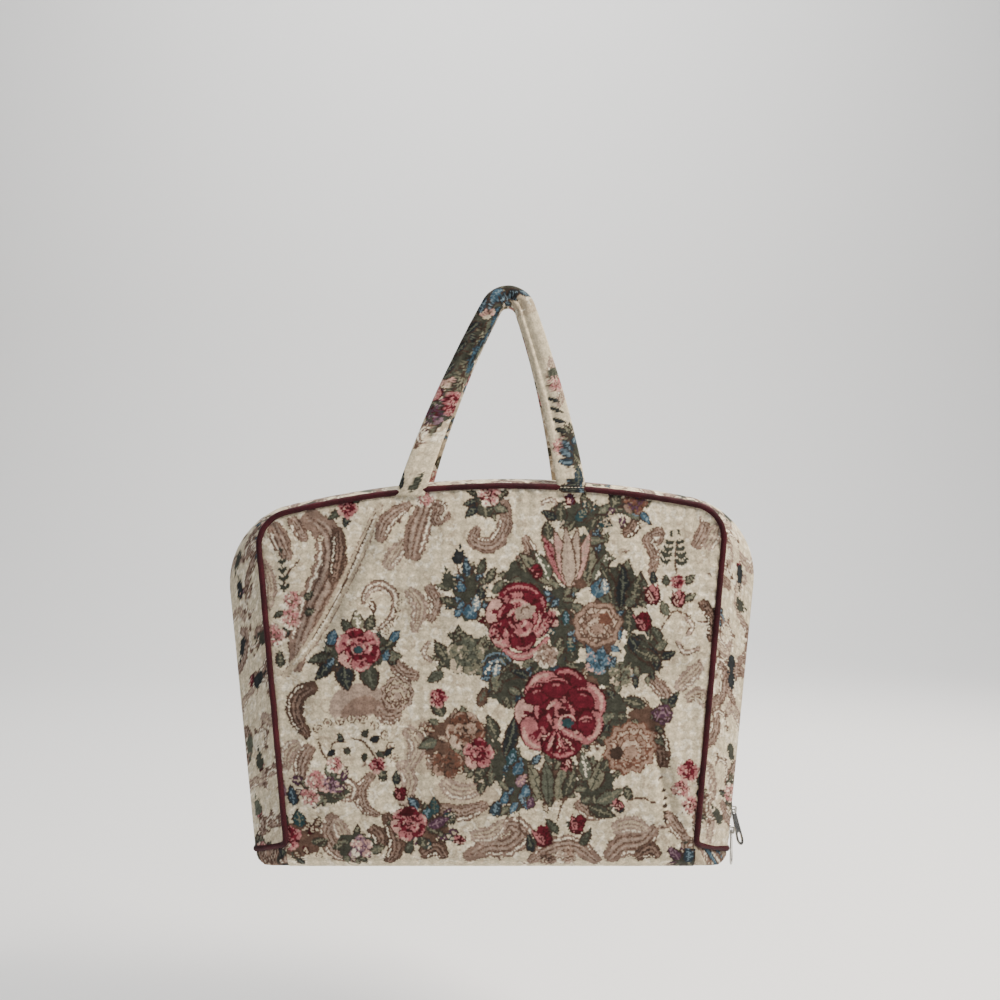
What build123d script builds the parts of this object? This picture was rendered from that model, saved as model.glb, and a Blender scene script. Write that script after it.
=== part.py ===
from build123d import *
from dataclasses import dataclass
import math
import os

os.makedirs("parts", exist_ok=True)

# Toiletry bag of woven tapestry that hangs by two strap handles.
# Millimetres, +Z up, front towards -Y. The origin is the hanging point, the underside of the handles' bend.
# One cloth makes the front, the bottom and the back. A gusset in two halves joins them over the sides and the top,
# with piping in both seams and a zip between the halves, from the lower left corner over the top to the lower right.

# The cloth body
bag_x = -12.5               # the bag's middle hangs a little left of the hanging point
seam_y = 30.0               # the front and back seams stand this far from the middle plane
cloth = 2.4                 # tapestry with its backing
bottom_z = -424.0
bottom_round = 18.0         # rounding where the cloth turns under, front and back
end_round = 9.0             # rounding of the bottom's pointed ends
panel_steps = ((5.0, 0.0), (20.0, 2.6), (46.0, 4.4))   # inset from the seam, and how far the stuffed panel stands out there
least_shoulder = 6.0
piping_dia = 4.4
piping_sides = 8            # flats round its section, which keeps the grooves that it presses in the cloth simple
piping_corner = 6.0         # bend of the piping where it leaves the side seam for the gusset's end

# Folds of the front, each from its upper to its lower end in X and Z, with its width and height
front_folds = (
    (((-100.6, -170.2), (-116.0, -208.0), (-135.0, -250.0), (-148.0, -294.0)), 22.0, 2.6),
    (((108.0, -318.0), (115.0, -345.0), (122.0, -372.0), (127.0, -392.0)), 14.0, 2.0),
    (((-136.0, -376.0), (-147.0, -383.0), (-157.0, -390.0)), 10.0, 1.4),
)

# The zip
tape_gap = 7.0              # half the width left open between the gusset halves
chain_depth = 1.6           # the chain's middle lies this far under the cloth's outer face
tape_thick = 0.8
tooth_root = 2.4            # the tape's edge, where the teeth begin, from the zip's middle line
tooth_reach = 0.7           # the teeth pass the middle line by this much to interlock
tooth_pitch = 3.6
tooth_long = 1.3
tooth_neck = 1.0
tooth_high = 2.4
end_margin = 4.5            # bare tape at each end of the chain

# Sliders, which stand nose to nose
slider_long = 12.0
nose_half = 6.0
tail_half = 3.9
plate_thick = 1.2
flange = 1.0
chain_clear = 0.3           # over and under the teeth
slot_clear = 0.4            # over and under the tape
wedge_half = 0.7
wedge_long = 3.6
lower_slider_at = 12.5      # from the zip's lower right end to the lower slider's middle
slider_spacing = 16.0
bridge_wide = 1.2
bridge_hole_long = 3.6
bridge_hole_high = 3.4
bridge_leg = 0.8
bridge_round = 1.2

# Pulls, flat teardrops with an oval hole
pull_long = 26.5            # from the crossbar to the tip
pull_tip_radius = 4.5
pull_head_half = 2.7
pull_thick = 1.0
pull_edge = 0.25            # the bevel round its edge
pull_bar_dia = 1.0
pull_bar_over_plate = 2.1
pull_eye_half = 2.0
pull_eye_long = 3.4
pull_hole_half = 2.5
pull_hole_long = 7.6
pull_hole_rim = 2.0         # metal left under the hole
upper_tilt = 15.0           # the upper pull lies over the lower slider
upper_lean = 21.0           # it hangs to the front of the lower slider's bridge, clear of the lower pull's swing
upper_shift = 0.4           # along its crossbar, with the lean
upper_twist = 40.0          # both pulls have turned a little to the front in their loose eyes
lower_twist = 22.0

# Strap handles
strap_spread = 60.0         # from the bag's middle to each strap end's middle
strap_wide = 22.0           # measured level, at the strap's end
strap_thick = 5.0
strap_end_drop = 3.6        # how far the end reaches below the seam
strap_side_radius = 750.0   # the legs bow out a little
bend_inner = 6.0
bend_outer = 22.0
bend_thick = 9.5
bend_gap = 1.6              # between the two handles where they hang together


@dataclass
class Line_of_edge:
    """An arch in an upright plane: two slanted sides, a crest round the hanging point and round shoulders."""
    y: float
    end_half: float          # half the width at the lower end
    slant: float             # of the sides, in degrees from upright
    end_z: float
    crest_z: float
    crest_radius: float
    shoulder: float


seam = Line_of_edge(-seam_y, 152.0, 5.2, -403.0, -137.5, 700.0, 25.0)
zip_line = Line_of_edge(-tape_gap, 180.0, 5.6, -414.0, -132.0, 705.5, 61.0)


def end_point(line, side, below=0.0, side_inset=0.0):
    """The lower end of one side, carried on downwards by a length if asked for."""
    half = line.end_half - side_inset - below * math.tan(math.radians(line.slant))
    return Vector(bag_x + side * half, line.y, line.end_z - below)


def shoulder_point(line, side, side_inset=0.0, top_inset=0.0):
    """Where one side would meet the crest if the shoulder were sharp."""
    slope = side * math.tan(math.radians(line.slant))
    foot = bag_x + side * (line.end_half - side_inset) - slope * line.end_z
    radius = line.crest_radius - top_inset
    centre_z = line.crest_z - line.crest_radius
    a = slope**2 + 1
    b = 2 * (foot * slope - centre_z)
    c = foot**2 + centre_z**2 - radius**2
    z = (-b + math.sqrt(b**2 - 4 * a * c)) / (2 * a)
    return Vector(foot + slope * z, line.y, z)


def outline(line, side_inset=0.0, top_inset=0.0, below=0.0):
    """The closed face inside an edge line. The insets shrink it at the sides and at the crest."""
    right_end = end_point(line, 1, below, side_inset)
    left_end = end_point(line, -1, below, side_inset)
    right_top = shoulder_point(line, 1, side_inset, top_inset)
    left_top = shoulder_point(line, -1, side_inset, top_inset)
    crest = Vector(0, line.y, line.crest_z - top_inset)
    edges = [
        Line(left_end, right_end).edge(),
        Line(right_end, right_top).edge(),
        ThreePointArc(right_top, crest, left_top).edge(),
        Line(left_top, left_end).edge(),
    ]
    face = Face(Wire(edges))
    corners = face.vertices().sort_by(Axis.Z)[-2:]
    return face.fillet_2d(max(line.shoulder - (side_inset + top_inset) / 2, least_shoulder), corners)


def arch_edges(face):
    """The edges of an outline's arch in order, right side first, without its lower edge."""
    low = face.bounding_box().min.Z
    arch = [e for e in face.edges() if e.bounding_box().max.Z > low + 1]
    return sorted(arch, key=lambda e: math.atan2(e.center().Z - low, e.center().X - bag_x))


def prism(face, depth):
    return extrude(face, amount=depth, dir=(0, 1, 0))


def mirrored(shape):
    return mirror(shape, about=Plane.XZ)


def bottom_tray(inset):
    """The bag below the gusset's ends, as a solid: a trough with round lower edges and pointed ends."""
    points = [
        (bag_x - seam.end_half, -seam_y),
        (bag_x + seam.end_half, -seam_y),
        (bag_x + zip_line.end_half, -tape_gap),
        (bag_x + zip_line.end_half, tape_gap),
        (bag_x + seam.end_half, seam_y),
        (bag_x - seam.end_half, seam_y),
        (bag_x - zip_line.end_half, tape_gap),
        (bag_x - zip_line.end_half, -tape_gap),
    ]
    plan = make_face(Polyline(*points, close=True))
    if inset:
        plan = offset(plan, -inset, kind=Kind.INTERSECTION)
    floor = bottom_z + inset
    high = seam.end_z - floor
    solid = extrude(Plane.XY.offset(floor) * plan, high)
    side_view = trough_section(seam_y - inset, high, bottom_round - inset)
    front_view = trough_section(zip_line.end_half - inset, high, end_round - inset)
    solid &= extrude(Plane((bag_x, 0, floor), x_dir=(0, 1, 0), z_dir=(1, 0, 0)) * side_view, 2 * zip_line.end_half, both=True)
    solid &= extrude(Plane((bag_x, 0, floor), x_dir=(1, 0, 0), z_dir=(0, -1, 0)) * front_view, 2 * seam_y, both=True)
    return solid


def trough_section(half, high, radius):
    """An upright section on its floor at Y 0, with round lower corners."""
    section = Rectangle(2 * half, high, align=(Align.CENTER, Align.MIN))
    return fillet(section.vertices().group_by(Axis.Y)[0], radius)


def gusset_end_cut():
    """All that lies above the gusset's lower ends, which fall from the seams to the zip."""
    high = seam.end_z + 60
    profile = Polyline(
        (-seam_y, seam.end_z), (-tape_gap, zip_line.end_z), (tape_gap, zip_line.end_z),
        (seam_y, seam.end_z), (seam_y, high), (-seam_y, high), close=True,
    )
    half = zip_line.end_half + 20
    return extrude(Plane.YZ * make_face(profile), half, both=True).moved(Location((bag_x, 0, 0)))


def piping():
    """The front seam's piping: over the arch, round the lower corners and across the gusset's ends."""
    arch = arch_edges(outline(seam))
    path = list(arch[1:-1])
    for side, leg in ((1, arch[0]), (-1, arch[-1])):
        leg_top = max((leg @ 0, leg @ 1), key=lambda p: p.Z)
        zip_end = end_point(zip_line, side)
        run = [Vector(zip_end.X, 0, zip_end.Z), zip_end, end_point(seam, side), leg_top]
        path += FilletPolyline(*run, radius=piping_corner).edges()
    wire = Wire.combine(path)[0]
    start = Plane(origin=wire @ 0, z_dir=wire % 0)
    section = RegularPolygon(piping_dia / 2, piping_sides)
    tube = sweep(start * section, path=wire)
    print("piping volume over section times length:", round(tube.volume / section.area / wire.length, 4))
    return tube


def stuffing():
    """The low pillow by which the full bag pushes the front out of its seam plane."""
    sections = []
    for inset, stand_out in panel_steps:
        face = outline(seam, inset, inset, -inset)
        sections.append(face.moved(Location((0, -stand_out, 0))))
    return loft(sections, ruled=True)


def fold(panel, places, wide, high):
    """A soft ridge along some places of the panel, highest in its middle."""
    sections = []
    ends = (places[0], places[-1])
    for place in places:
        x, z = place
        low_end = Vector(places[-1][0] - places[0][0], 0, places[-1][1] - places[0][1])
        ray = Axis((x, -3 * seam_y, z), (0, 1, 0))
        surface = min(point.Y for point, normal in panel.find_intersection_points(ray))
        part = 0.2 if place in ends else 1.0
        section = Polyline((-wide / 2 * part, -cloth / 2), (wide / 2 * part, -cloth / 2), (0, high * part), close=True)
        sections.append(Plane((x, surface, z), x_dir=low_end.cross(Vector(0, -1, 0)), z_dir=low_end) * make_face(section))
    return loft(sections, ruled=True)


def front_panel_and_bottom(front_piping):
    """One cloth: up the front, under the bottom and up the back. The front has its folds."""
    pillow = stuffing()
    panel = prism(outline(seam, below=2 * cloth), cloth) + pillow - pillow.moved(Location((0, cloth, 0)))
    back = mirrored(panel)
    for places, wide, high in front_folds:
        panel += fold(panel, places, wide, high)
    tray = bottom_tray(0) - bottom_tray(cloth) - gusset_end_cut()
    return panel + back + tray - front_piping - mirrored(front_piping)


def gusset(front_piping):
    """The front half of the gusset, from the seam out to the zip."""
    run = seam_y - tape_gap
    splay = zip_line.end_half - seam.end_half
    lift = zip_line.crest_z - seam.crest_z
    side_wall = cloth * math.hypot(splay, run) / run
    top_wall = cloth * math.hypot(lift, run) / run
    outer = loft([outline(seam), outline(zip_line)], ruled=True)
    hollow = [outline(line, side_wall, top_wall, below=30) for line in (seam, zip_line)]
    shell = outer - loft(hollow, ruled=True)
    return shell - prism(outline(seam), cloth) - front_piping


def zip_band(depth_out, depth_in, y_from, y_to):
    """A ribbon that follows the zip line, between two depths under the cloth's outer face."""
    shift = Location((0, y_from - zip_line.y, 0))
    width = y_to - y_from
    outer = prism(outline(zip_line, depth_out, depth_out), width)
    inner = prism(outline(zip_line, depth_in, depth_in, below=5), width)
    return (outer - inner).moved(shift)


def chain_path():
    """The chain's middle line, from the lower right end over the top to the lower left end."""
    line = outline(zip_line, chain_depth, chain_depth)
    wire = Wire(arch_edges(line)).moved(Location((0, tape_gap, 0)))
    if (wire @ 0).X < (wire @ 1).X:
        wire = Wire([Edge(e.wrapped) for e in reversed(wire.edges())])
    return wire


def slider_places():
    return lower_slider_at, lower_slider_at + slider_spacing


def eye_half_width(distance):
    """Half the small opening between the two sliders, where the teeth are parted."""
    low, high = slider_places()
    middle = (low + high) / 2
    reach = (high - low) / 2 + slider_long / 6
    if abs(distance - middle) >= reach:
        return 0.0
    open_half = wedge_half + tooth_reach + chain_clear + 0.3
    return open_half * math.cos(math.pi / 2 * (distance - middle) / reach) ** 0.5


def right_side_frame(distance, over_chain=0.0):
    """A frame on the zip's right side: X across to the back, Y up along the zip, Z outwards."""
    a = math.radians(zip_line.slant)
    along = Vector(math.sin(a), 0, math.cos(a))
    outward = Vector(math.cos(a), 0, -math.sin(a))
    end = end_point(zip_line, 1)
    foot = Vector(end.X, 0, end.Z)
    origin = foot + along * distance + outward * (over_chain - chain_depth)
    return Plane(origin=origin, x_dir=(0, 1, 0), z_dir=outward)


def tooth():
    """A tooth of the front row, its neck at the tape's edge and its wider head past the middle line."""
    plan = Polyline(
        (-tooth_root, -tooth_neck / 2), (tooth_reach, -tooth_long / 2),
        (tooth_reach, tooth_long / 2), (-tooth_root, tooth_neck / 2), close=True,
    )
    return extrude(make_face(plan), tooth_high / 2, both=True)


def teeth(row):
    """One row of teeth. Row -1 is the front one, and row 1, half a pitch on, the back one."""
    wire = chain_path()
    length = wire.length
    count = int((length - 2 * end_margin) / tooth_pitch)
    shape = tooth() if row < 0 else Rot(Z=180) * tooth()
    row_of_teeth = []
    for number in range(count):
        distance = end_margin + (number + (0.5 if row > 0 else 0.0)) * tooth_pitch
        along = wire.tangent_at(distance / length)
        outward = along.cross(Vector(0, 1, 0)) * -1
        place = Plane(origin=wire.position_at(distance / length), x_dir=(0, 1, 0), z_dir=outward)
        row_of_teeth.append(place * Pos(row * eye_half_width(distance), 0, 0) * shape)
    return row_of_teeth


def tape(front_piping, front_teeth):
    """The front half of the zip tape, from the gusset's edge to the teeth, drawn back between the sliders."""
    half = tape_thick / 2
    strip = zip_band(chain_depth - half, chain_depth + half, -tape_gap, -tooth_root)
    middle = sum(slider_places()) / 2
    reach = slider_places()[1] - slider_places()[0] + slider_long / 3
    opening = right_side_frame(middle) * extrude(Ellipse(tooth_root + eye_half_width(middle), reach / 2), 3, both=True)
    parted = [t for t in front_teeth if (t.center() - right_side_frame(middle).origin).length < reach / 2]
    strip = strip - opening - front_piping
    for each in parted:
        strip -= each
    return strip


def slider():
    """A slider in its own frame: tail towards +Y, nose towards -Y, Z outwards, the chain's middle at the origin."""
    half = slider_long / 2
    channel = tooth_high / 2 + chain_clear
    slot = tape_thick / 2 + slot_clear
    plan = make_face(Polyline(
        (-nose_half, -half), (nose_half, -half), (tail_half, half), (-tail_half, half), close=True,
    ))
    plan = fillet(plan.vertices(), 1.4)
    body = extrude(plan, channel + plate_thick, both=True)
    taper = (nose_half - tail_half) / slider_long
    inner = make_face(Polyline(
        (-nose_half + flange - taper, -half - 1), (nose_half - flange + taper, -half - 1),
        (tail_half - flange - taper, half + 1), (-tail_half + flange + taper, half + 1), close=True,
    ))
    body -= extrude(inner, channel, both=True)
    body -= Box(4 * nose_half, 2 * slider_long, 2 * slot)
    wedge = make_face(Polyline(
        (0, -half + 0.3), (wedge_half, -half + 1.2), (0, -half + wedge_long), (-wedge_half, -half + 1.2), close=True,
    ))
    body += extrude(wedge, channel + plate_thick / 2, both=True)
    return body + bridge().moved(Location((0, 0, channel + plate_thick)))


def bridge():
    """The arch on the slider's top plate that the pull hangs from. Its foot is at Z 0."""
    high = bridge_hole_high + bridge_leg
    half = bridge_hole_long / 2
    arch = Rectangle(2 * (half + bridge_leg), high + 1, align=(Align.CENTER, Align.MIN))
    arch = fillet(arch.vertices().group_by(Axis.Y)[-1], bridge_round)
    hole = Rectangle(2 * half, bridge_hole_high, align=(Align.CENTER, Align.MIN))
    hole = fillet(hole.vertices().group_by(Axis.Y)[-1], bridge_round - bridge_leg)
    profile = Pos(0, -0.5) * arch - hole - Pos(0, -1) * Rectangle(20, 1.6, align=(Align.CENTER, Align.CENTER))
    profile = Plane.YZ * profile
    return extrude(profile, bridge_wide / 2, both=True)


def pull():
    """A pull in its own frame: its crossbar along X through the origin, hanging towards -Y."""
    tip = Pos(0, pull_tip_radius - pull_long) * Circle(pull_tip_radius)
    plan = make_hull((tip + Circle(pull_head_half)).edges())
    plan -= Pos(0, pull_bar_dia / 2) * Rectangle(20, 10, align=(Align.CENTER, Align.MIN))
    blank = extrude(plan, pull_thick / 2, both=True)
    rim = blank.edges().filter_by(Axis.Y, reverse=True).filter_by(lambda e: abs(e.center().Z) > pull_thick / 4)
    rim = [e for e in rim if e.center().Y < -0.1]
    blank = chamfer(rim, pull_edge)
    eye = Rectangle(2 * pull_eye_half, pull_eye_long + 5, align=(Align.CENTER, Align.MIN))
    eye = fillet((Pos(0, -pull_eye_long) * eye).vertices().group_by(Axis.Y)[0], pull_eye_half * 0.6)
    hole_y = pull_hole_rim + pull_hole_long / 2 - pull_long
    hole = Pos(0, hole_y) * Rot(Z=90) * SlotOverall(pull_hole_long, 2 * pull_hole_half)
    blank -= extrude(eye, pull_thick, both=True)
    blank -= extrude(hole, pull_thick, both=True)
    bar = Rot(Y=90) * Cylinder(pull_bar_dia / 2, 2 * pull_eye_half + pull_bar_dia)
    return blank + bar


def pull_pivot(distance):
    top = tooth_high / 2 + chain_clear + plate_thick
    return right_side_frame(distance, top + pull_bar_over_plate)


def leg_circle(base, bend_radius):
    """The centre of the wide arc through a strap's base point that runs on into the bend's circle."""
    centre = Vector(0, 0, -bend_inner)
    reach = strap_side_radius - bend_radius
    gap = (base - centre).length
    along = (gap**2 + reach**2 - strap_side_radius**2) / (2 * gap)
    across = math.sqrt(reach**2 - along**2)
    to_base = (base - centre).normalized()
    inward = Vector(-to_base.Z, 0, to_base.X) * (1 if base.X < 0 else -1)
    return centre + to_base * along + inward * across


def handle_edge(left_base, right_base, bend_radius):
    """One edge of a strap seen from the front: up the left leg, round the bend and down the right leg."""
    centre = Vector(0, 0, -bend_inner)
    tops, middles = [], []
    for base in (left_base, right_base):
        leg = leg_circle(base, bend_radius)
        top = centre + (centre - leg).normalized() * bend_radius
        halfway = ((base - leg).normalized() + (top - leg).normalized()).normalized()
        tops.append(top)
        middles.append(leg + halfway * strap_side_radius)
    crown = centre + Vector(0, 0, bend_radius)
    return [
        ThreePointArc(left_base, middles[0], tops[0]).edge(),
        ThreePointArc(tops[0], crown, tops[1]).edge(),
        ThreePointArc(tops[1], middles[1], right_base).edge(),
    ]


def strap_base(side, across):
    """A corner of a strap's end, a little below the seam there."""
    x = bag_x + side * strap_spread
    seam_z = seam.crest_z - seam.crest_radius + math.sqrt(seam.crest_radius**2 - x**2)
    return Vector(x + across * strap_wide / 2, 0, seam_z - strap_end_drop)


def handle(body, front_gusset, front_piping):
    """The front strap: its face seen from the front, cut to its side view, which leans in to the bend."""
    outer = handle_edge(strap_base(-1, -1), strap_base(1, 1), bend_outer)
    inner = handle_edge(strap_base(-1, 1), strap_base(1, -1), bend_inner)
    feet = [Line(outer[0] @ 0, inner[0] @ 0).edge(), Line(outer[2] @ 1, inner[2] @ 1).edge()]
    face = Face(Wire(outer + inner + feet))
    strap = extrude(face, amount=2 * seam_y, dir=(0, -1, 0))
    top = bend_outer - bend_inner + 1
    low = min(strap_base(-1, 1).Z, strap_base(1, 1).Z) - 1
    near_y = -seam_y - strap_thick / 2
    far_y = near_y + strap_thick
    side = Polyline(
        (near_y, low), (near_y, seam.crest_z + strap_thick),
        (-bend_gap / 2 - bend_thick, -2 * bend_outer), (-bend_gap / 2 - bend_thick, top),
        (-bend_gap / 2, top), (-bend_gap / 2, -2 * bend_outer),
        (far_y, seam.crest_z + strap_thick), (far_y, seam.crest_z), (-seam_y, seam.crest_z), (-seam_y, low), close=True,
    )
    strap &= extrude(Plane.YZ * make_face(side), 4 * strap_spread, both=True)
    return strap - body - front_gusset - front_piping


piping_front = piping()
body_panel = front_panel_and_bottom(piping_front)
gusset_front = gusset(piping_front)
teeth_front = teeth(-1)
teeth_back = teeth(1)
tape_front = tape(piping_front, teeth_front)
tape_back = mirrored(tape(piping_front, [mirrored(t) for t in teeth_back]))
handle_front = handle(body_panel, gusset_front, piping_front)
lower_place, upper_place = slider_places()
slider_body = slider()
pull_body = pull()
slider_upper = right_side_frame(upper_place) * slider_body
slider_lower = right_side_frame(lower_place) * Rot(Z=180) * slider_body
upper_turn = Rot(X=-upper_tilt) * Rot(Z=-upper_lean) * Pos(upper_shift, 0, 0) * Rot(Y=-upper_twist)
pull_upper = pull_pivot(upper_place) * upper_turn * pull_body
pull_lower = pull_pivot(lower_place) * Rot(X=-zip_line.slant) * Rot(Y=-lower_twist) * pull_body

nodes = {
    "body_panel": body_panel,
    "gusset_front": gusset_front,
    "gusset_back": mirrored(gusset_front),
    "piping_front": piping_front,
    "piping_back": mirrored(piping_front),
    "zip_tape_front": tape_front,
    "zip_tape_back": tape_back,
    "zip_teeth_front": Compound(children=teeth_front),
    "zip_teeth_back": Compound(children=teeth_back),
    "slider_upper": slider_upper,
    "slider_lower": slider_lower,
    "pull_upper": pull_upper,
    "pull_lower": pull_lower,
    "handle_front": handle_front,
    "handle_back": mirrored(handle_front),
}
for name, shape in nodes.items():
    export_step(shape, f"parts/{name}.step")

for name, place in (("upper", upper_place), ("lower", lower_place)):
    pivot = pull_pivot(place).origin
    print(name, "pull pivot:", round(pivot.X, 4), round(pivot.Y, 4), round(pivot.Z, 4))
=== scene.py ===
import math
import random

import bmesh
import bpy
import numpy as np
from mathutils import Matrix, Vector
from mathutils.geometry import delaunay_2d_cdt


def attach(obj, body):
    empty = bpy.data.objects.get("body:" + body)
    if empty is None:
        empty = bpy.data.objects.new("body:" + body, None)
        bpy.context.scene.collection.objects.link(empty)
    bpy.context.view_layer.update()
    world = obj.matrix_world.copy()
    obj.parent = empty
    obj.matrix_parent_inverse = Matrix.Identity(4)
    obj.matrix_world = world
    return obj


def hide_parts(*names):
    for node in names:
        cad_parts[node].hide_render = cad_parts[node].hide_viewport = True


# Toiletry bag of woven tapestry that hangs by two strap handles. Metres, +Z up, front towards -Y.
# The cloth is cut as flat sheets with the print laid on as fields of colour, then shaped over the bag's form.

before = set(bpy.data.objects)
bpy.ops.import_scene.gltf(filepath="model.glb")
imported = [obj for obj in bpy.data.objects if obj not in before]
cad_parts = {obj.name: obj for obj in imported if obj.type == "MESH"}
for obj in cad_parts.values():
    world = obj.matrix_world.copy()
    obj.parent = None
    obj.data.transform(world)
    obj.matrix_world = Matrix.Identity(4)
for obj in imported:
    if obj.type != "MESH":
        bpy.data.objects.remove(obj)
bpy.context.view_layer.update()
bpy.ops.object.select_all(action="DESELECT")

MM = 0.001
SEED = 7

# The bag's edge lines, in millimetres, as the sewn parts have them
BAG_X = -12.5
SEAM_Y = -30.0
ZIP_Y = -7.0
PIPING_R = 2.2
BOTTOM_R = 18.0
SEAM = dict(half=152.0, slant=5.2, end_z=-403.0, crest_z=-137.5, crest_r=700.0, shoulder=25.0)
ZIP = dict(half=180.0, slant=5.6, end_z=-414.0, crest_z=-132.0, crest_r=705.5, shoulder=61.0)
STEPS = dict(side=230, shoulder=60, crest=280)
PANEL_MID_Z = -280.0
PANEL_INSET = 0.6
# How far apart the points of the front cloth, the back cloth and the piping's line lie
FRONT_STEP, BACK_STEP, PIPING_STEP = 1.06, 1.25, 1.4
# Distances to a seam are worked out up to here
SEAM_REACH = 32


def linear(hex_colour):
    """An sRGB hex colour as linear RGBA."""
    parts = [int(hex_colour[i:i + 2], 16) / 255 for i in (0, 2, 4)]
    return tuple(c / 12.92 if c <= 0.04045 else ((c + 0.055) / 1.055) ** 2.4 for c in parts) + (1.0,)


def add_node(tree, kind, inputs=None, **settings):
    """A node with its settings, and for each input a value or the socket that feeds it."""
    node = tree.nodes.new(kind)
    for name, value in settings.items():
        setattr(node, name, value)
    for name, value in (inputs or {}).items():
        if isinstance(value, bpy.types.NodeSocket):
            tree.links.new(value, node.inputs[name])
        else:
            node.inputs[name].default_value = value
    return node


# ---------------------------------------------------------------- edge lines

def arch_line(half, slant, end_z, crest_z, crest_r, shoulder, inset=0.0):
    """Points in X and Z from the lower right end over the top to the lower left end, and the run along
    them."""
    centre = np.array([0.0, crest_z - crest_r])
    sides = []
    for side in (1, -1):
        a = math.radians(slant)
        along = np.array([side * math.sin(a), math.cos(a)])
        inward = np.array([-side * math.cos(a), math.sin(a)])
        foot = np.array([BAG_X + side * half, end_z]) + inward * inset
        # The shoulder's centre lies its radius in from the side and from the crest
        start = foot + inward * shoulder - centre
        reach = crest_r - inset - shoulder
        b = start @ along
        run = -b + math.sqrt(b * b - (start @ start - reach * reach))
        middle = start + along * run + centre
        on_side = middle - inward * shoulder
        on_crest = centre + (middle - centre) / np.linalg.norm(middle - centre) * (crest_r - inset)
        sides.append((foot, on_side, middle, on_crest))

    (foot_r, side_r, mid_r, top_r), (foot_l, side_l, mid_l, top_l) = sides
    runs = [
        np.linspace(foot_r, side_r, STEPS["side"] + 1),
        arc_points(mid_r, side_r, top_r, STEPS["shoulder"])[1:],
        arc_points(centre, top_r, top_l, STEPS["crest"])[1:],
        arc_points(mid_l, top_l, side_l, STEPS["shoulder"])[1:],
        np.linspace(side_l, foot_l, STEPS["side"] + 1)[1:],
    ]
    return np.concatenate(runs)


def arc_points(about, start, end, count):
    """The points of an arc of count steps about a centre, from start to end the shorter way round."""
    a0 = math.atan2(*(start - about)[::-1])
    a1 = math.atan2(*(end - about)[::-1])
    a1 += math.tau * round((a0 - a1) / math.tau)
    radius = np.linalg.norm(start - about)
    angles = np.linspace(a0, a1, count + 1)
    return np.stack([about[0] + radius * np.cos(angles), about[1] + radius * np.sin(angles)], 1)


def run_along(line):
    """The distance run along a line of points, at each of them."""
    return np.concatenate([[0], np.cumsum(np.linalg.norm(np.diff(line, axis=0), axis=1))])


def left_of(line):
    """Unit vectors to the left of a flat line, one at each of its points."""
    d = np.gradient(line, axis=0)
    return np.stack([-d[:, 1], d[:, 0]], 1) / np.maximum(np.linalg.norm(d, axis=1), 1e-6)[:, None]


def turned(x, y, u, v, turn):
    """Flat points that lie u along a direction in degrees and v to its left, from a place."""
    a = math.radians(turn)
    c, s = math.cos(a), math.sin(a)
    return np.stack([x + u * c - v * s, y + u * s + v * c], 1)


def inside_polygon(poly, x, y):
    """Which flat points lie inside a closed polygon."""
    inside = np.zeros(len(x), bool)
    for (x0, y0), (x1, y1) in zip(poly, np.roll(poly, -1, 0)):
        if y0 != y1:
            inside ^= ((y0 > y) != (y1 > y)) & (x < (x1 - x0) * (y - y0) / (y1 - y0) + x0)
    return inside


def smooth(x):
    x = np.clip(x, 0, 1)
    return x * x * (3 - 2 * x)


def ripple(x, z, seed, size):
    """Soft, seeded unevenness from -1 to 1, a sum of waves about one size long in millimetres."""
    pick = random.Random(seed)
    total = np.zeros_like(x, dtype=float)
    for _ in range(7):
        a = pick.uniform(0, math.tau)
        k = math.tau / (size * pick.uniform(0.6, 1.7))
        total += np.sin((x * math.cos(a) + z * math.sin(a)) * k + pick.uniform(0, math.tau))
    return total / 4.5


def distance_to(points, line):
    """How far each flat point lies from an open line of points, and how far along the line."""
    best = np.full(len(points), 1e9)
    where = np.zeros(len(points))
    run = run_along(line)
    for i in range(0, len(line) - 1):
        a, d = line[i], line[i + 1] - line[i]
        near = np.abs(points - a).max(1) < SEAM_REACH
        if not near.any():
            continue
        p = points[near] - a
        t = np.clip((p @ d) / (d @ d), 0, 1)
        gap = np.linalg.norm(p - t[:, None] * d, axis=1)
        old = best[near]
        closer = gap < old
        where[near] = np.where(closer, run[i] + t * np.linalg.norm(d), where[near])
        best[near] = np.minimum(gap, old)
    return best, where


# ---------------------------------------------------------------- the woven print
# A traditional floral tapestry: roses, carnations, sprigs and scrolls on a sand ground, drawn as fields of
# colour.
# Each field is a polygon in millimetres on the flat cloth, and a later field covers an earlier one.

INK = {
    "pale": "e0d6c0", "cream": "c8bba0", "sand": "b3a48c", "beige": "988577", "taupe": "7d685c",
    "umber": "564238",
    "line": "3a2d26", "crimson": "5a1824", "wine": "3b1115", "pink": "9c6364", "blush": "b58f84",
    "rust": "5f4034",
    "leaf": "3a3b33", "sage": "53564a", "moss": "726f5d", "ink": "242729", "teal": "293f42", "navy": "2a353d",
    "blue": "38505f", "sky": "647680", "peach": "8d7566", "apricot": "ab9886", "plum": "4b3242",
    "mauve": "7d646d",
}
RIB = {"taupe": "beige", "beige": "sand", "umber": "taupe", "mauve": "beige", "wine": "plum"}


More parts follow.
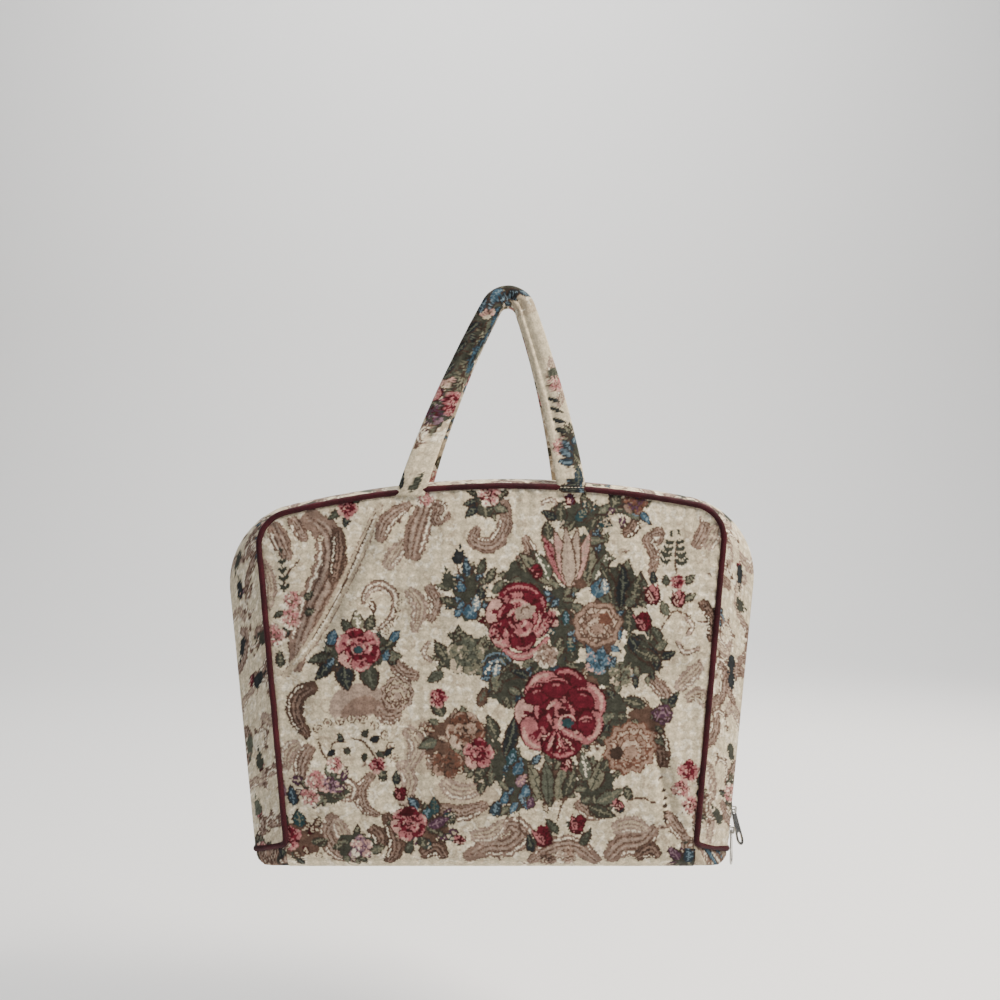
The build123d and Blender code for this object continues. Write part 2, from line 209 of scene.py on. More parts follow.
class Cloth:
    """A list of fields of colour, with the motifs that draw them."""

    def __init__(self, seed):
        self.fields = []
        self.pick = random.Random(seed)

    def add(self, points, ink):
        self.fields.append((np.asarray(points, float), ink))

    def blob(self, x, y, rx, ry, ink, turn=0.0, lobes=0, depth=0.0, phase=0.0, count=22):
        a = np.linspace(0, math.tau, count, endpoint=False)
        r = 1 + depth * np.cos(lobes * a + phase)
        self.add(turned(x, y, rx * r * np.cos(a), ry * r * np.sin(a), turn), ink)

    def stroke(self, line, wide, ink, ends=0.15):
        """A line that swells in its middle and thins to its ends."""
        line = np.asarray(line, float)
        n = left_of(line)
        t = np.linspace(0, 1, len(line))
        half = wide / 2 * (ends + (1 - ends) * np.sin(math.pi * t) ** 0.6)
        self.add(np.concatenate([line + n * half[:, None], (line - n * half[:, None])[::-1]]), ink)

    def bend(self, points):
        """A smooth line through a few points."""
        p = np.asarray(points, float)
        p = np.concatenate([[2 * p[0] - p[1]], p, [2 * p[-1] - p[-2]]])
        t = np.linspace(0, 1, 10, endpoint=False)[:, None]
        runs = []
        for a, b, c, d in zip(p, p[1:], p[2:], p[3:]):
            runs.append((2 * b + (c - a) * t + (2 * a - 5 * b + 4 * c - d) * t ** 2 + (3 * b - a - 3 * c + d)
                         * t ** 3) / 2)
        return np.concatenate(runs + [p[-2:-1]])

    def band(self, points, wide, ink="taupe", edge="umber", heart="pale"):
        """A smooth band with a darker edge and a pale line inside."""
        line = self.bend(points)
        self.stroke(line, wide + 1.6, edge, 0.4)
        self.stroke(line, wide, ink, 0.4)
        if heart:
            self.stroke(line[3:-3], wide * 0.32, heart, 0.4)

    def feather(self, points, wide, ink="taupe", lobes=6):
        """An acanthus feather: a lobed band with darker and paler lines along it."""
        line = self.bend(points)
        t = np.linspace(0, 1, len(line))
        n = left_of(line)
        swell = np.sin(math.pi * (0.1 + 0.86 * t)) ** 0.6
        half = (wide / 2 * swell * (0.8 + 0.2 * np.abs(np.sin(math.pi * lobes * t))))[:, None]
        edge = "umber" if ink in ("taupe", "mauve") else "line" if ink in ("umber", "wine") else "taupe"
        for grow, fill in ((0.6, edge), (0, ink)):
            self.add(np.concatenate([line + n * (half + grow), (line - n * (half + grow))[::-1]]), fill)
        for off, thick, fill in ((0.66, 0.06, edge), (0.36, 0.13, RIB[ink]), (0.1, 0.06, edge),
                                 (-0.18, 0.1, RIB[ink]),
                                 (-0.42, 0.06, edge), (-0.7, 0.07, "pale")):
            start = int(len(line) * abs(off) * 0.25)
            self.stroke((line + n * half * off)[start:len(line) - start], max(0.8, wide * thick), fill, 0.3)

    def foliage(self, x, y, rx, ry, count, inks=("leaf", "sage", "moss", "ink"), long=10.0):
        """A mass of overlapping leaves that point out from its middle."""
        pick = self.pick
        self.blob(x, y, rx * 0.95, ry * 0.95, "leaf" if "umber" not in inks else "umber", 0, 7, 0.1,
                  pick.uniform(0, 6), 40)
        for f in sorted((math.sqrt(pick.random()) for _ in range(count)), reverse=True):
            a = pick.uniform(0, math.tau)
            size = long * pick.uniform(0.8, 1.25)
            ink = pick.choice(inks)
            vein = {"leaf": "moss", "ink": "sage", "sage": "moss", "moss": "leaf", "blue": "sky",
                    "navy": "sky"}.get(ink, "sand")
            self.leaf(x + rx * f * math.cos(a), y + ry * f * math.sin(a), size,
                      size * pick.uniform(0.42, 0.6),
                      math.degrees(a) + pick.uniform(-35, 35), ink, vein, rim="line")

    def arc(self, x, y, r, start, sweep, wide, ink, squash=1.0, turn=0.0, wind=0.0):
        """A curved stroke. wind tightens its radius along the way into a curl."""
        t = np.linspace(0, 1, max(8, int(abs(sweep) / 14)))
        a = np.radians(start + sweep * t)
        rr = r * (1 - wind * t)
        self.stroke(turned(x, y, rr * np.cos(a), rr * squash * np.sin(a), turn), wide, ink)

    def leaf(self, x, y, long, wide, turn, ink="leaf", vein="sage", bend=0.15, rim=None):
        t = np.linspace(0, 1, 10)
        side = wide / 2 * np.sin(math.pi * t ** 0.75) ** 0.9

        def place(u, v):
            return turned(x, y, u, v, turn)

        mid = bend * long * t * t
        upper, lower = place(t * long, mid + side), place(t * long, mid - side)
        if rim:
            grown = np.concatenate([place(t * long * 1.04, mid + side * 1.25 + 0.3),
                                    place(t * long * 1.04, mid - side * 1.25 - 0.3)[::-1]])
            self.add(grown, rim)
        self.add(np.concatenate([upper, lower[::-1]]), ink)
        if vein:
            self.stroke(place(t * long * 0.9, mid), max(0.9, wide * 0.14), vein)
            for k in (3, 5, 7):
                u, m = t[k] * long, mid[k]
                for sgn in (1, -1):
                    tip = place(np.array([u + long * 0.12]), np.array([m + sgn * side[k] * 0.8]))
                    root = place(np.array([u]), np.array([m]))
                    self.stroke(np.concatenate([root, (root + tip) / 2, tip]), 0.8, vein)

    def sprig(self, x, y, long, turn, count=5, ink="leaf", wide=3.2, size=7.0):
        a = math.radians(turn)
        way = np.array([math.cos(a), math.sin(a)])
        t = np.linspace(0, 1, 8)[:, None]
        self.stroke(np.array([x, y]) + t * way * long, 1.1, ink)
        for i in range(count):
            at = np.array([x, y]) + way * long * (0.15 + 0.8 * i / count)
            for sgn in (1, -1):
                self.leaf(at[0], at[1], size * (1.1 - 0.5 * i / count), wide, turn + sgn * 48, ink, None,
                          bend=-0.1 * sgn)
        self.leaf(x + way[0] * long, y + way[1] * long, size * 0.8, wide * 0.8, turn, ink, None)

    def rose(self, x, y, r, dark="wine", mid="crimson", light="pink", pale="blush", turn=0.0, petals=6):
        """A rose from the front: dark gaps, broad outer petals with pale rims, and a wound heart."""
        pick = self.pick
        self.blob(x, y, r * 0.92, r * 0.88, dark, turn, petals, 0.07)
        for ring, (far, size, inks) in enumerate((
                (0.7, 0.42, (light, mid, light, pale)), (0.36, 0.33, (mid, light, mid)),
                (0.15, 0.22, (mid, light)))):
            count = petals - ring
            for i in range(count):
                a = turn + 360 * i / count + ring * 31 + pick.uniform(-8, 8)
                c, s = math.cos(math.radians(a)), math.sin(math.radians(a))
                px, py = x + far * r * c, y + far * r * s
                big = size * r * pick.uniform(0.9, 1.12)
                self.blob(px, py, big * 0.82, big * 1.12, dark, a, 3, 0.05)
                self.blob(px + c * 0.4, py + s * 0.4, big * 0.72, big * 1.0, inks[i % len(inks)], a, 3, 0.06,
                          pick.uniform(0, 6))
                rim = pale if inks[i % len(inks)] != mid else light
                self.arc(px - c * big * 0.35, py - s * big * 0.35, big * 0.95, a - 48, 96, r * 0.075 + 0.3,
                         rim)
                for k in (-22, 0, 22):
                    q = math.radians(a + k)
                    tip = np.array([px + math.cos(q) * big * 0.45, py + math.sin(q) * big * 0.45])
                    root = np.array([px - c * big * 0.45, py - s * big * 0.45])
                    self.stroke([root, (root + tip) / 2, tip], r * 0.05 + 0.3,
                                mid if inks[i % len(inks)] != mid else dark)
        self.blob(x, y, r * 0.17, r * 0.15, dark)
        self.arc(x, y, r * 0.15, turn, 300, r * 0.06 + 0.3, light, wind=0.6)

    def carnation(self, x, y, r, turn=0.0, ink="peach", pale="apricot", dark="umber", teeth=13):
        """A ruffled flower: toothed rims in rings with fine dark lines towards the heart."""
        self.blob(x, y, r * 1.03, r * 0.95, dark, turn, teeth, 0.09)
        self.blob(x, y, r * 0.96, r * 0.88, ink, turn, teeth, 0.09)
        for ring, (size, fill) in enumerate(((0.78, pale), (0.62, ink), (0.45, pale), (0.28, ink))):
            self.blob(x, y - r * 0.06 * ring, r * size * 1.05, r * size * 0.95, dark, turn, teeth - 2 * ring,
                      0.10, ring)
            self.blob(x, y - r * 0.06 * ring, r * size * 0.95, r * size * 0.85, fill, turn, teeth - 2 * ring,
                      0.10, ring)
        for i in range(teeth):
            a = math.radians(turn + 360 * i / teeth)
            c, s = math.cos(a), math.sin(a)
            line = [(x + c * r * f, y + s * r * f * 0.92) for f in (0.3, 0.6, 0.88)]
            self.stroke(line, r * 0.045 + 0.3, dark)

    def fan(self, x, y, r, turn, spread, count, ink, rim, wide=0.5):
        for i in range(count):
            a = turn + spread * (i / (count - 1) - 0.5) if count > 1 else turn
            self.leaf(x, y, r * self.pick.uniform(0.85, 1.1), r * wide, a, ink, rim, bend=0.05)

    def bud(self, x, y, r, turn=90.0, ink="crimson", dark="wine", leaf="leaf"):
        a = math.radians(turn)
        c, s = math.cos(a), math.sin(a)
        for k in (-38, 0, 38):
            self.leaf(x - c * r * 0.9, y - s * r * 0.9, r * 1.5, r * 0.6, turn + k, leaf, None)
        self.blob(x, y, r * 0.95, r * 0.72, dark, turn, 3, 0.1)
        self.blob(x + c * r * 0.12, y + s * r * 0.12, r * 0.8, r * 0.6, ink, turn, 3, 0.1)
        light = "pink" if ink == "crimson" else "blush"
        for k in (-24, 20):
            self.leaf(x - c * r * 0.7, y - s * r * 0.7, r * 1.7, r * 0.55, turn + k, light if k > 0 else ink,
                      dark, rim=dark)

    def scroll(self, x, y, r, start, sweep, wide, ink="taupe", pale="pale", line="umber", turn=0.0, lobes=4,
               squash=1.0):
        """An acanthus scroll: a winding band with a pale inner line and lobes off its outer side."""
        self.arc(x, y, r, start, sweep, wide * 1.25, line, squash, turn, 0.25)
        for i in range(lobes):
            f = (i + 0.6) / lobes
            a = math.radians(start + sweep * f)
            rr = r * (1 - 0.25 * f) + wide * 0.35
            c, s = math.cos(math.radians(turn)), math.sin(math.radians(turn))
            px, py = rr * math.cos(a), rr * squash * math.sin(a)
            out = math.degrees(a) + turn + (35 if sweep > 0 else -35)
            self.leaf(x + px * c - py * s, y + px * s + py * c, wide * 1.5, wide * 0.9, out, ink, line,
                      bend=0.3, rim=line)
        self.arc(x, y, r, start, sweep, wide, ink, squash, turn, 0.25)
        self.arc(x, y, r * 0.97, start + sweep * 0.06, sweep * 0.86, wide * 0.4, pale, squash, turn, 0.25)

    def lace(self, line, r, ink="taupe", pale="cream"):
        """A scalloped edging of small open rounds."""
        for x, y in line:
            self.blob(x, y, r, r, "umber", count=14)
            self.blob(x, y, r * 0.78, r * 0.78, pale, count=14)
            self.blob(x, y, r * 0.36, r * 0.36, ink, count=10)

    def ground(self, low, high, density=1.0):
        """The quiet filling of the pale ground: raised squiggles close to its own colour, with a few
        specks."""
        pick = self.pick
        area = (high[0] - low[0]) * (high[1] - low[1])
        for _ in range(int(area * density / 40)):
            x, y = pick.uniform(low[0], high[0]), pick.uniform(low[1], high[1])
            ink = pick.choice(("pale", "pale", "sand"))
            if pick.random() < 0.75:
                self.arc(x, y, pick.uniform(2, 6), pick.uniform(0, 360), pick.uniform(100, 300),
                         pick.uniform(1.3, 2.3), ink, wind=pick.uniform(0.1, 0.6))
            else:
                self.blob(x, y, pick.uniform(1, 2.4), pick.uniform(0.8, 1.6), ink, pick.uniform(0, 180), 3,
                          0.2)
        for _ in range(int(area * density / 2600)):
            x, y = pick.uniform(low[0], high[0]), pick.uniform(low[1], high[1])
            self.leaf(x, y, pick.uniform(4, 8), pick.uniform(2, 3.4), pick.uniform(0, 360), "beige", "umber",
                      0.2)

    def bouquet(self, x, y, r):
        """A scattered group for the cloth that the front doesn't show: a flower with leaves round it."""
        pick = self.pick
        turn = pick.uniform(0, 360)
        self.foliage(x, y, r * 1.15, r * 0.95, 16,
                     pick.choice((("leaf", "sage", "moss", "ink"), ("leaf", "navy", "blue", "sage"))),
                     r * 0.65)
        kind = pick.random()
        if kind < 0.55:
            self.rose(x, y, r * 0.8, turn=turn)
        elif kind < 0.75:
            self.carnation(x, y, r * 0.8, turn)
        else:
            self.rose(x, y, r * 0.8, "umber", "pink", "blush", "pale", turn)

    def scatter(self, low, high, step, r, bloom=0.5):
        """Bouquets, buds and feathers over a whole cloth."""
        pick = self.pick
        rows = int((high[1] - low[1]) / step) + 1
        for j in range(rows):
            for i in range(int((high[0] - low[0]) / step) + 1):
                x = low[0] + (i + 0.5 * (j % 2) + pick.uniform(-0.2, 0.2)) * step
                y = low[1] + (j + pick.uniform(-0.2, 0.2)) * step
                a = pick.uniform(0, math.tau)
                way = np.array([math.cos(a), math.sin(a)]) * r
                side = np.array([-way[1], way[0]])
                mid = np.array([x + step * 0.5, y + step * 0.3])
                self.feather([mid - way * 1.3, mid + side * 0.6, mid + way * 1.3, mid + way * 1.2 - side],
                             r * pick.uniform(0.6, 0.95), pick.choice(("taupe", "beige", "taupe")))
                self.scroll(x + step * 0.4, y - step * 0.4, r * 0.7, pick.uniform(0, 360),
                            pick.choice((-230, 230)), r * 0.25)
                if pick.random() < bloom:
                    self.bouquet(x, y, r * pick.uniform(0.8, 1.1))
                else:
                    if pick.random() < 0.35:
                        self.bud(x, y, r * 0.4, pick.uniform(0, 360),
                                 pick.choice(("crimson", "pink", "mauve")))
                    self.sprig(x + r * 0.4, y, r * 1.3, pick.uniform(0, 360), 4,
                               pick.choice(("leaf", "sage", "ink")))

    def colours(self, points, base="cream"):
        """The colour of each flat point, with the fields' edges a little ragged as a weave leaves them."""
        rng = np.random.default_rng(SEED)
        at = points + rng.normal(0, 0.28, points.shape)
        out = np.tile(np.array(linear(INK[base])), (len(points), 1))
        order = np.argsort(at[:, 0])
        xs, ys = at[order, 0], at[order, 1]
        for poly, ink in self.fields:
            lo, hi = poly.min(0), poly.max(0)
            a, b = np.searchsorted(xs, lo[0]), np.searchsorted(xs, hi[0])
            if b <= a:
                continue
            sel = np.nonzero((ys[a:b] >= lo[1]) & (ys[a:b] <= hi[1]))[0] + a
            if not len(sel):
                continue
            out[order[sel[inside_polygon(poly, xs[sel], ys[sel])]]] = linear(INK[ink])
        return out


def front_print():
    """The front's own composition, with one patch of painted shade, placed in millimetres from the hanging
    point.
    """
    c = Cloth(21)
    c.ground((-190, -430), (165, -130), 1.0)
    # A darker patch below the left leaves: partly the print's own darker field and partly painted shade,
    # drawn as beige and taupe fields
    c.blob(-110.3, -296.7, 23, 13, "beige", 10, 3, 0.08, 1, 40)
    c.blob(-108.0, -300.4, 15, 7, "taupe", 14, 3, 0.12, 2, 40)
    c.blob(-61.4, -329.3, 16, 20, "sand", 0, 7, 0.07)
    c.blob(-31.8, -366.3, 24, 17, "sand", 0, 7, 0.07)
    # Acanthus feathers, each as its line, its width, its colour and its count of lobes
    for line, wide, ink, lobes in (
            (((-174.6, -165.0), (-168.7, -177.6), (-161.3, -192.4)), 14, "taupe", 4),
            (((-182.0, -192.4), (-176.1, -210.9), (-177.6, -229.4)), 10, "beige", 4),
            (((68.1, -418.8), (49.6, -404.0), (29.6, -407.0), (14.8, -418.8)), 15, "taupe", 6),
            (((-127.3, -378.9), (-134.7, -393.7), (-127.3, -408.5), (-115.4, -415.9)), 13, "taupe", 6),
            (((-90.3, -378.9), (-82.9, -404.0), (-90.3, -418.8)), 13, "umber", 5),
            (((139.1, -378.9), (142.1, -396.6), (134.7, -415.9)), 10, "taupe", 4),
            (((124.3, -288.6), (134.7, -278.2), (143.6, -269.4)), 12, "beige", 4),
            (((-79.9, -340.4), (-72.5, -355.2), (-78.4, -374.4)), 12, "beige", 5),
            (((-145.0, -328.6), (-152.4, -340.4), (-153.9, -356.7)), 13, "taupe", 5),
            (((102.1, -278.2), (114.0, -288.6), (118.4, -299.0)), 11, "taupe", 4),
            (((-161.3, -160.6), (-155.4, -168.7), (-149.5, -179.1)), 10, "taupe", 4),
            (((-151.7, -158.4), (-135.4, -170.9), (-131.0, -189.4), (-135.4, -207.2), (-145.0, -226.4),
              (-153.9, -251.6), (-156.9, -275.3)), 25, "taupe", 10),
            (((-126.5, -168.0), (-125.1, -186.5), (-129.5, -210.2)), 12, "umber", 6),
            (((-94.7, -179.1), (-88.8, -162.8), (-71.8, -150.2)), 12, "taupe", 5),
            (((-90.3, -198.3), (-82.9, -187.2), (-74.0, -177.6)), 12, "beige", 5),
            (((-71.0, -192.4), (-66.6, -170.2), (-57.7, -145.0)), 19, "taupe", 7),
            (((-3.0, -148.0), (-2.2, -165.8), (-11.1, -180.6), (-25.2, -178.3), (-22.2, -167.2)), 12,
             "taupe", 6),
            (((-42.9, -156.9), (-51.8, -162.8), (-49.6, -153.2), (-57.7, -151.7)), 10, "taupe", 4),
            (((105.1, -204.2), (108.0, -189.4), (103.6, -177.6), (112.5, -172.4), (110.3, -181.3)), 9,
             "taupe", 5),
            (((84.4, -173.9), (91.8, -168.7), (94.7, -161.3)), 10, "umber", 4),
            (((137.6, -183.5), (143.6, -174.6), (146.5, -163.5)), 12, "taupe", 5),
            (((146.5, -184.3), (152.4, -174.6), (155.4, -165.8)), 12, "beige", 4),
            (((-140.6, -284.2), (-155.4, -293.0), (-156.9, -307.8), (-146.5, -323.4)), 14, "umber", 6),
            (((-97.7, -300.4), (-88.8, -307.8), (-78.4, -304.9)), 12, "taupe", 4),
            (((-196.8, -312.3), (-190.9, -337.4), (-177.6, -355.2), (-165.8, -367.8)), 22, "mauve", 8),
            (((-180.6, -315.2), (-177.6, -333.0), (-168.7, -349.3)), 17, "beige", 6),
            (((-202.0, -291.6), (-196.8, -304.9), (-191.7, -319.7)), 12, "taupe", 5),
            (((-99.2, -349.3), (-108.0, -361.1), (-105.8, -374.4), (-94.7, -381.1)), 10, "taupe", 6),
            (((-186.5, -383.3), (-180.6, -396.6), (-171.7, -410.7)), 17, "wine", 6),
            (((-127.3, -383.3), (-122.8, -394.4), (-116.9, -405.5)), 12, "beige", 5),
            (((-102.1, -389.2), (-94.7, -398.1), (-97.7, -408.5)), 12, "umber", 5),
            (((-32.6, -414.4), (-16.3, -405.5), (0.0, -404.0), (10.4, -393.7), (1.5, -387.8),
              (-3.0, -395.2)), 17, "taupe", 9),
            (((-28.1, -396.6), (-13.3, -395.2), (-2.2, -384.8)), 13, "beige", 6),
            (((73.3, -415.9), (84.4, -404.0), (99.2, -401.1), (109.5, -389.2)), 19, "taupe", 7),
            (((77.0, -392.2), (90.3, -387.8), (103.6, -392.2)), 14, "beige", 6),
            (((94.7, -414.4), (105.1, -407.0), (112.5, -412.9)), 12, "umber", 5),
            (((115.4, -346.3), (112.5, -327.1), (105.1, -310.8)), 12, "umber", 5),
            (((-48.8, -353.7), (-37.0, -362.6), (-16.3, -359.6)), 14, "beige", 6),
            (((-50.3, -374.4), (-34.0, -378.9), (-14.8, -371.5)), 13, "taupe", 6),
            (((-75.5, -315.2), (-66.6, -329.3), (-74.0, -346.3)), 13, "beige", 6),
            (((-63.6, -312.3), (-54.8, -327.1), (-57.7, -346.3)), 12, "taupe", 6),
            (((-65.1, -411.4), (-53.3, -405.5), (-45.9, -414.4)), 13, "umber", 4),
            (((50.3, -370.0), (60.7, -378.9), (75.5, -378.9)), 12, "taupe", 5),
            (((142.1, -222.0), (151.0, -235.3), (149.5, -253.1)), 9, "umber", 4),
            (((131.7, -296.0), (142.1, -291.6), (146.5, -301.9)), 10, "beige", 4),
            (((116.9, -378.9), (124.3, -390.7), (134.7, -401.8)), 10, "taupe", 5),
            (((-153.9, -327.1), (-162.8, -334.5), (-164.3, -347.8)), 12, "beige", 5),
            (((-85.8, -266.4), (-77.0, -275.3), (-65.1, -278.2)), 12, "taupe", 5),
            (((-74.0, -213.1), (-65.1, -226.4), (-69.6, -245.7)), 12, "beige", 5),
            (((-59.2, -210.2), (-53.3, -223.5), (-57.7, -238.3)), 10, "taupe", 5),
            (((-153.9, -257.5), (-145.0, -251.6), (-137.6, -238.3)), 10, "beige", 5),
            (((5.9, -193.9), (16.3, -186.5), (11.8, -174.6)), 10, "taupe", 4)):
        c.feather(line, wide, ink, lobes)
    # The pale band that runs down from the left handle, and the curls beside it
    c.band(((-94.0, -149.5), (-107.3, -181.3), (-120.6, -208.7), (-140.6, -245.7), (-166.5, -279.7)), 8,
           "sand", "taupe", "pale")
    c.stroke(c.bend(((-97.7, -156.9), (-111.0, -186.5), (-124.3, -216.1), (-145.0, -251.6))), 1.5, "umber",
             0.5)
    c.band(((-106.6, -225.0), (-104.3, -214.6), (-94.7, -209.4), (-83.6, -217.6), (-85.8, -233.1),
            (-96.9, -244.9)), 4.5)
    c.leaf(-99.2, -231.6, 12, 5.5, 90, "umber", "pale")
    c.band(((-127.3, -361.1), (-121.4, -354.5), (-113.2, -358.9), (-115.4, -367.8), (-124.3, -367.8)), 4)
    c.band(((-50.3, -322.6), (-44.4, -316.7), (-37.0, -321.2)), 4, "pink", "wine")
    for line in (((-105.1, -220.5), (-100.6, -214.6), (-91.8, -213.1)),
                 ((38.5, -156.9), (32.6, -148.0), (23.7, -151.0)),
                 ((72.5, -177.6), (66.6, -183.5), (72.5, -189.4)),
                 ((130.2, -233.8), (136.2, -241.2), (131.7, -248.6)),
                 ((124.3, -251.6), (130.2, -260.5), (142.1, -257.5)),
                 ((-57.7, -251.6), (-62.2, -260.5), (-56.2, -267.9))):
        c.band(line, 3, "beige")
    c.lace([(-80.7, -222.7), (-81.4, -227.9), (-82.9, -233.1), (-85.8, -239.0), (-90.3, -244.9)], 2.6)
    c.lace([(-140.6, -316.7), (-133.2, -312.3), (-124.3, -310.8), (-115.4, -309.3), (-106.6, -309.3),
            (-98.4, -313.8), (-91.0, -321.2), (-86.6, -329.3), (-83.6, -338.2)], 3.4)
    c.lace([(-69.6, -320.4), (-63.6, -317.5), (-57.7, -316.0), (-51.8, -316.0)], 2.6)
    c.lace([(136.2, -296.0), (140.6, -293.8), (145.0, -296.7)], 2.4)
    c.lace([(165.0, -267.9), (170.2, -269.4), (-139.1, -176.1), (-139.9, -411.4)], 2.6)
    for at in ((115.4, -363.3), (116.2, -368.5), (116.2, -373.7), (116.2, -378.9), (116.2, -384.1)):
        c.blob(*at, 1.5, 1.8, "line")
    # Vines and stems
    for line in (((-131.7, -335.2), (-128.8, -327.1), (-119.1, -326.3)),
                 ((-115.4, -323.4), (-106.6, -326.3), (-101.4, -332.3), (-96.9, -338.9)),
                 ((-131.7, -341.9), (-137.6, -333.0), (-140.6, -324.1)),
                 ((42.9, -366.3), (38.5, -375.9), (36.3, -384.8)),
                 ((-153.9, -192.4), (-164.3, -204.2), (-165.8, -216.1)),
                 ((-40.0, -189.4), (-35.5, -202.8), (-31.1, -214.6)),
                 ((105.1, -205.7), (106.6, -211.6), (106.6, -219.0)),
                 ((124.3, -179.1), (123.6, -192.4), (124.3, -203.5)),
                 ((134.7, -233.8), (121.4, -230.9), (108.0, -251.6)),
                 ((108.8, -371.5), (97.7, -367.8), (87.3, -370.0)),
                 ((16.3, -398.1), (8.9, -390.7), (8.1, -378.9))):
        c.stroke(c.bend(line), 1.6, "umber", 0.5)
    # Masses of leaves under the flowers
    for at, rx, ry, count, inks in (
            ((16.3, -203.5), 20, 13, 20, ("leaf", "sage", "moss")),
            ((59.2, -192.4), 17, 19, 20, ("leaf", "sage", "moss", "navy")),
            ((84.4, -210.9), 14, 15, 16, ("leaf", "ink", "sage")),
            ((42.2, -251.6), 12, 20, 18, ("navy", "teal", "blue", "leaf")),
            ((68.1, -275.3), 24, 11, 20, ("navy", "sage", "sky", "leaf")),
            ((99.2, -262.7), 15, 16, 18, ("leaf", "ink", "sage")),
            ((-28.1, -262.7), 23, 14, 24, ("leaf", "sage", "moss")),
            ((-1.5, -282.7), 15, 17, 18, ("leaf", "sage", "navy")),
            ((-29.6, -218.3), 11, 19, 18, ("blue", "teal", "leaf", "navy")),
            ((-39.2, -327.1), 22, 21, 22, ("umber", "taupe", "sage", "rust")),
            ((8.9, -356.7), 14, 22, 24, ("blue", "teal", "navy", "sage")),
            ((32.6, -356.7), 18, 15, 18, ("sage", "leaf", "umber")),
            ((64.4, -358.9), 15, 17, 18, ("sage", "moss", "leaf")),
            ((-156.9, -399.6), 20, 14, 18, ("ink", "wine", "leaf", "umber")),
            ((-61.4, -387.8), 20, 13, 20, ("teal", "plum", "leaf", "umber")),
            ((-111.0, -259.0), 27, 13, 24, ("leaf", "ink", "sage", "navy")),
            ((133.2, -415.9), 12, 8, 10, ("navy", "plum", "leaf")),
            ((101.4, -312.3), 15, 13, 12, ("leaf", "sage", "umber")),
            ((88.8, -153.2), 13, 7, 10, ("leaf", "ink", "plum")),
            ((55.5, -159.1), 18, 9, 14, ("leaf", "teal", "sage")),
            ((-135.4, -361.1), 19, 11, 14, ("sage", "plum", "moss")),
            ((49.6, -304.9), 26, 30, 26, ("leaf", "umber", "ink", "sage")),
            ((66.6, -242.7), 18, 20, 18, ("navy", "blue", "umber")),
            ((5.2, -236.8), 23, 22, 18, ("umber", "leaf", "wine")),
            ((39.2, -220.5), 11, 10, 12, ("leaf", "navy", "sage")),
            ((27.4, -266.4), 16, 10, 14, ("leaf", "sage", "navy")),
            ((77.0, -304.9), 12, 18, 14, ("leaf", "sage", "ink")),
            ((-13.3, -340.4), 12, 18, 14, ("leaf", "sage", "moss")),
            ((-113.2, -404.0), 16, 10, 12, ("sage", "mauve", "leaf")),
            ((-14.8, -148.0), 11, 7, 8, ("leaf", "ink"))):
        c.foliage(*at, rx, ry, count, inks, 9)
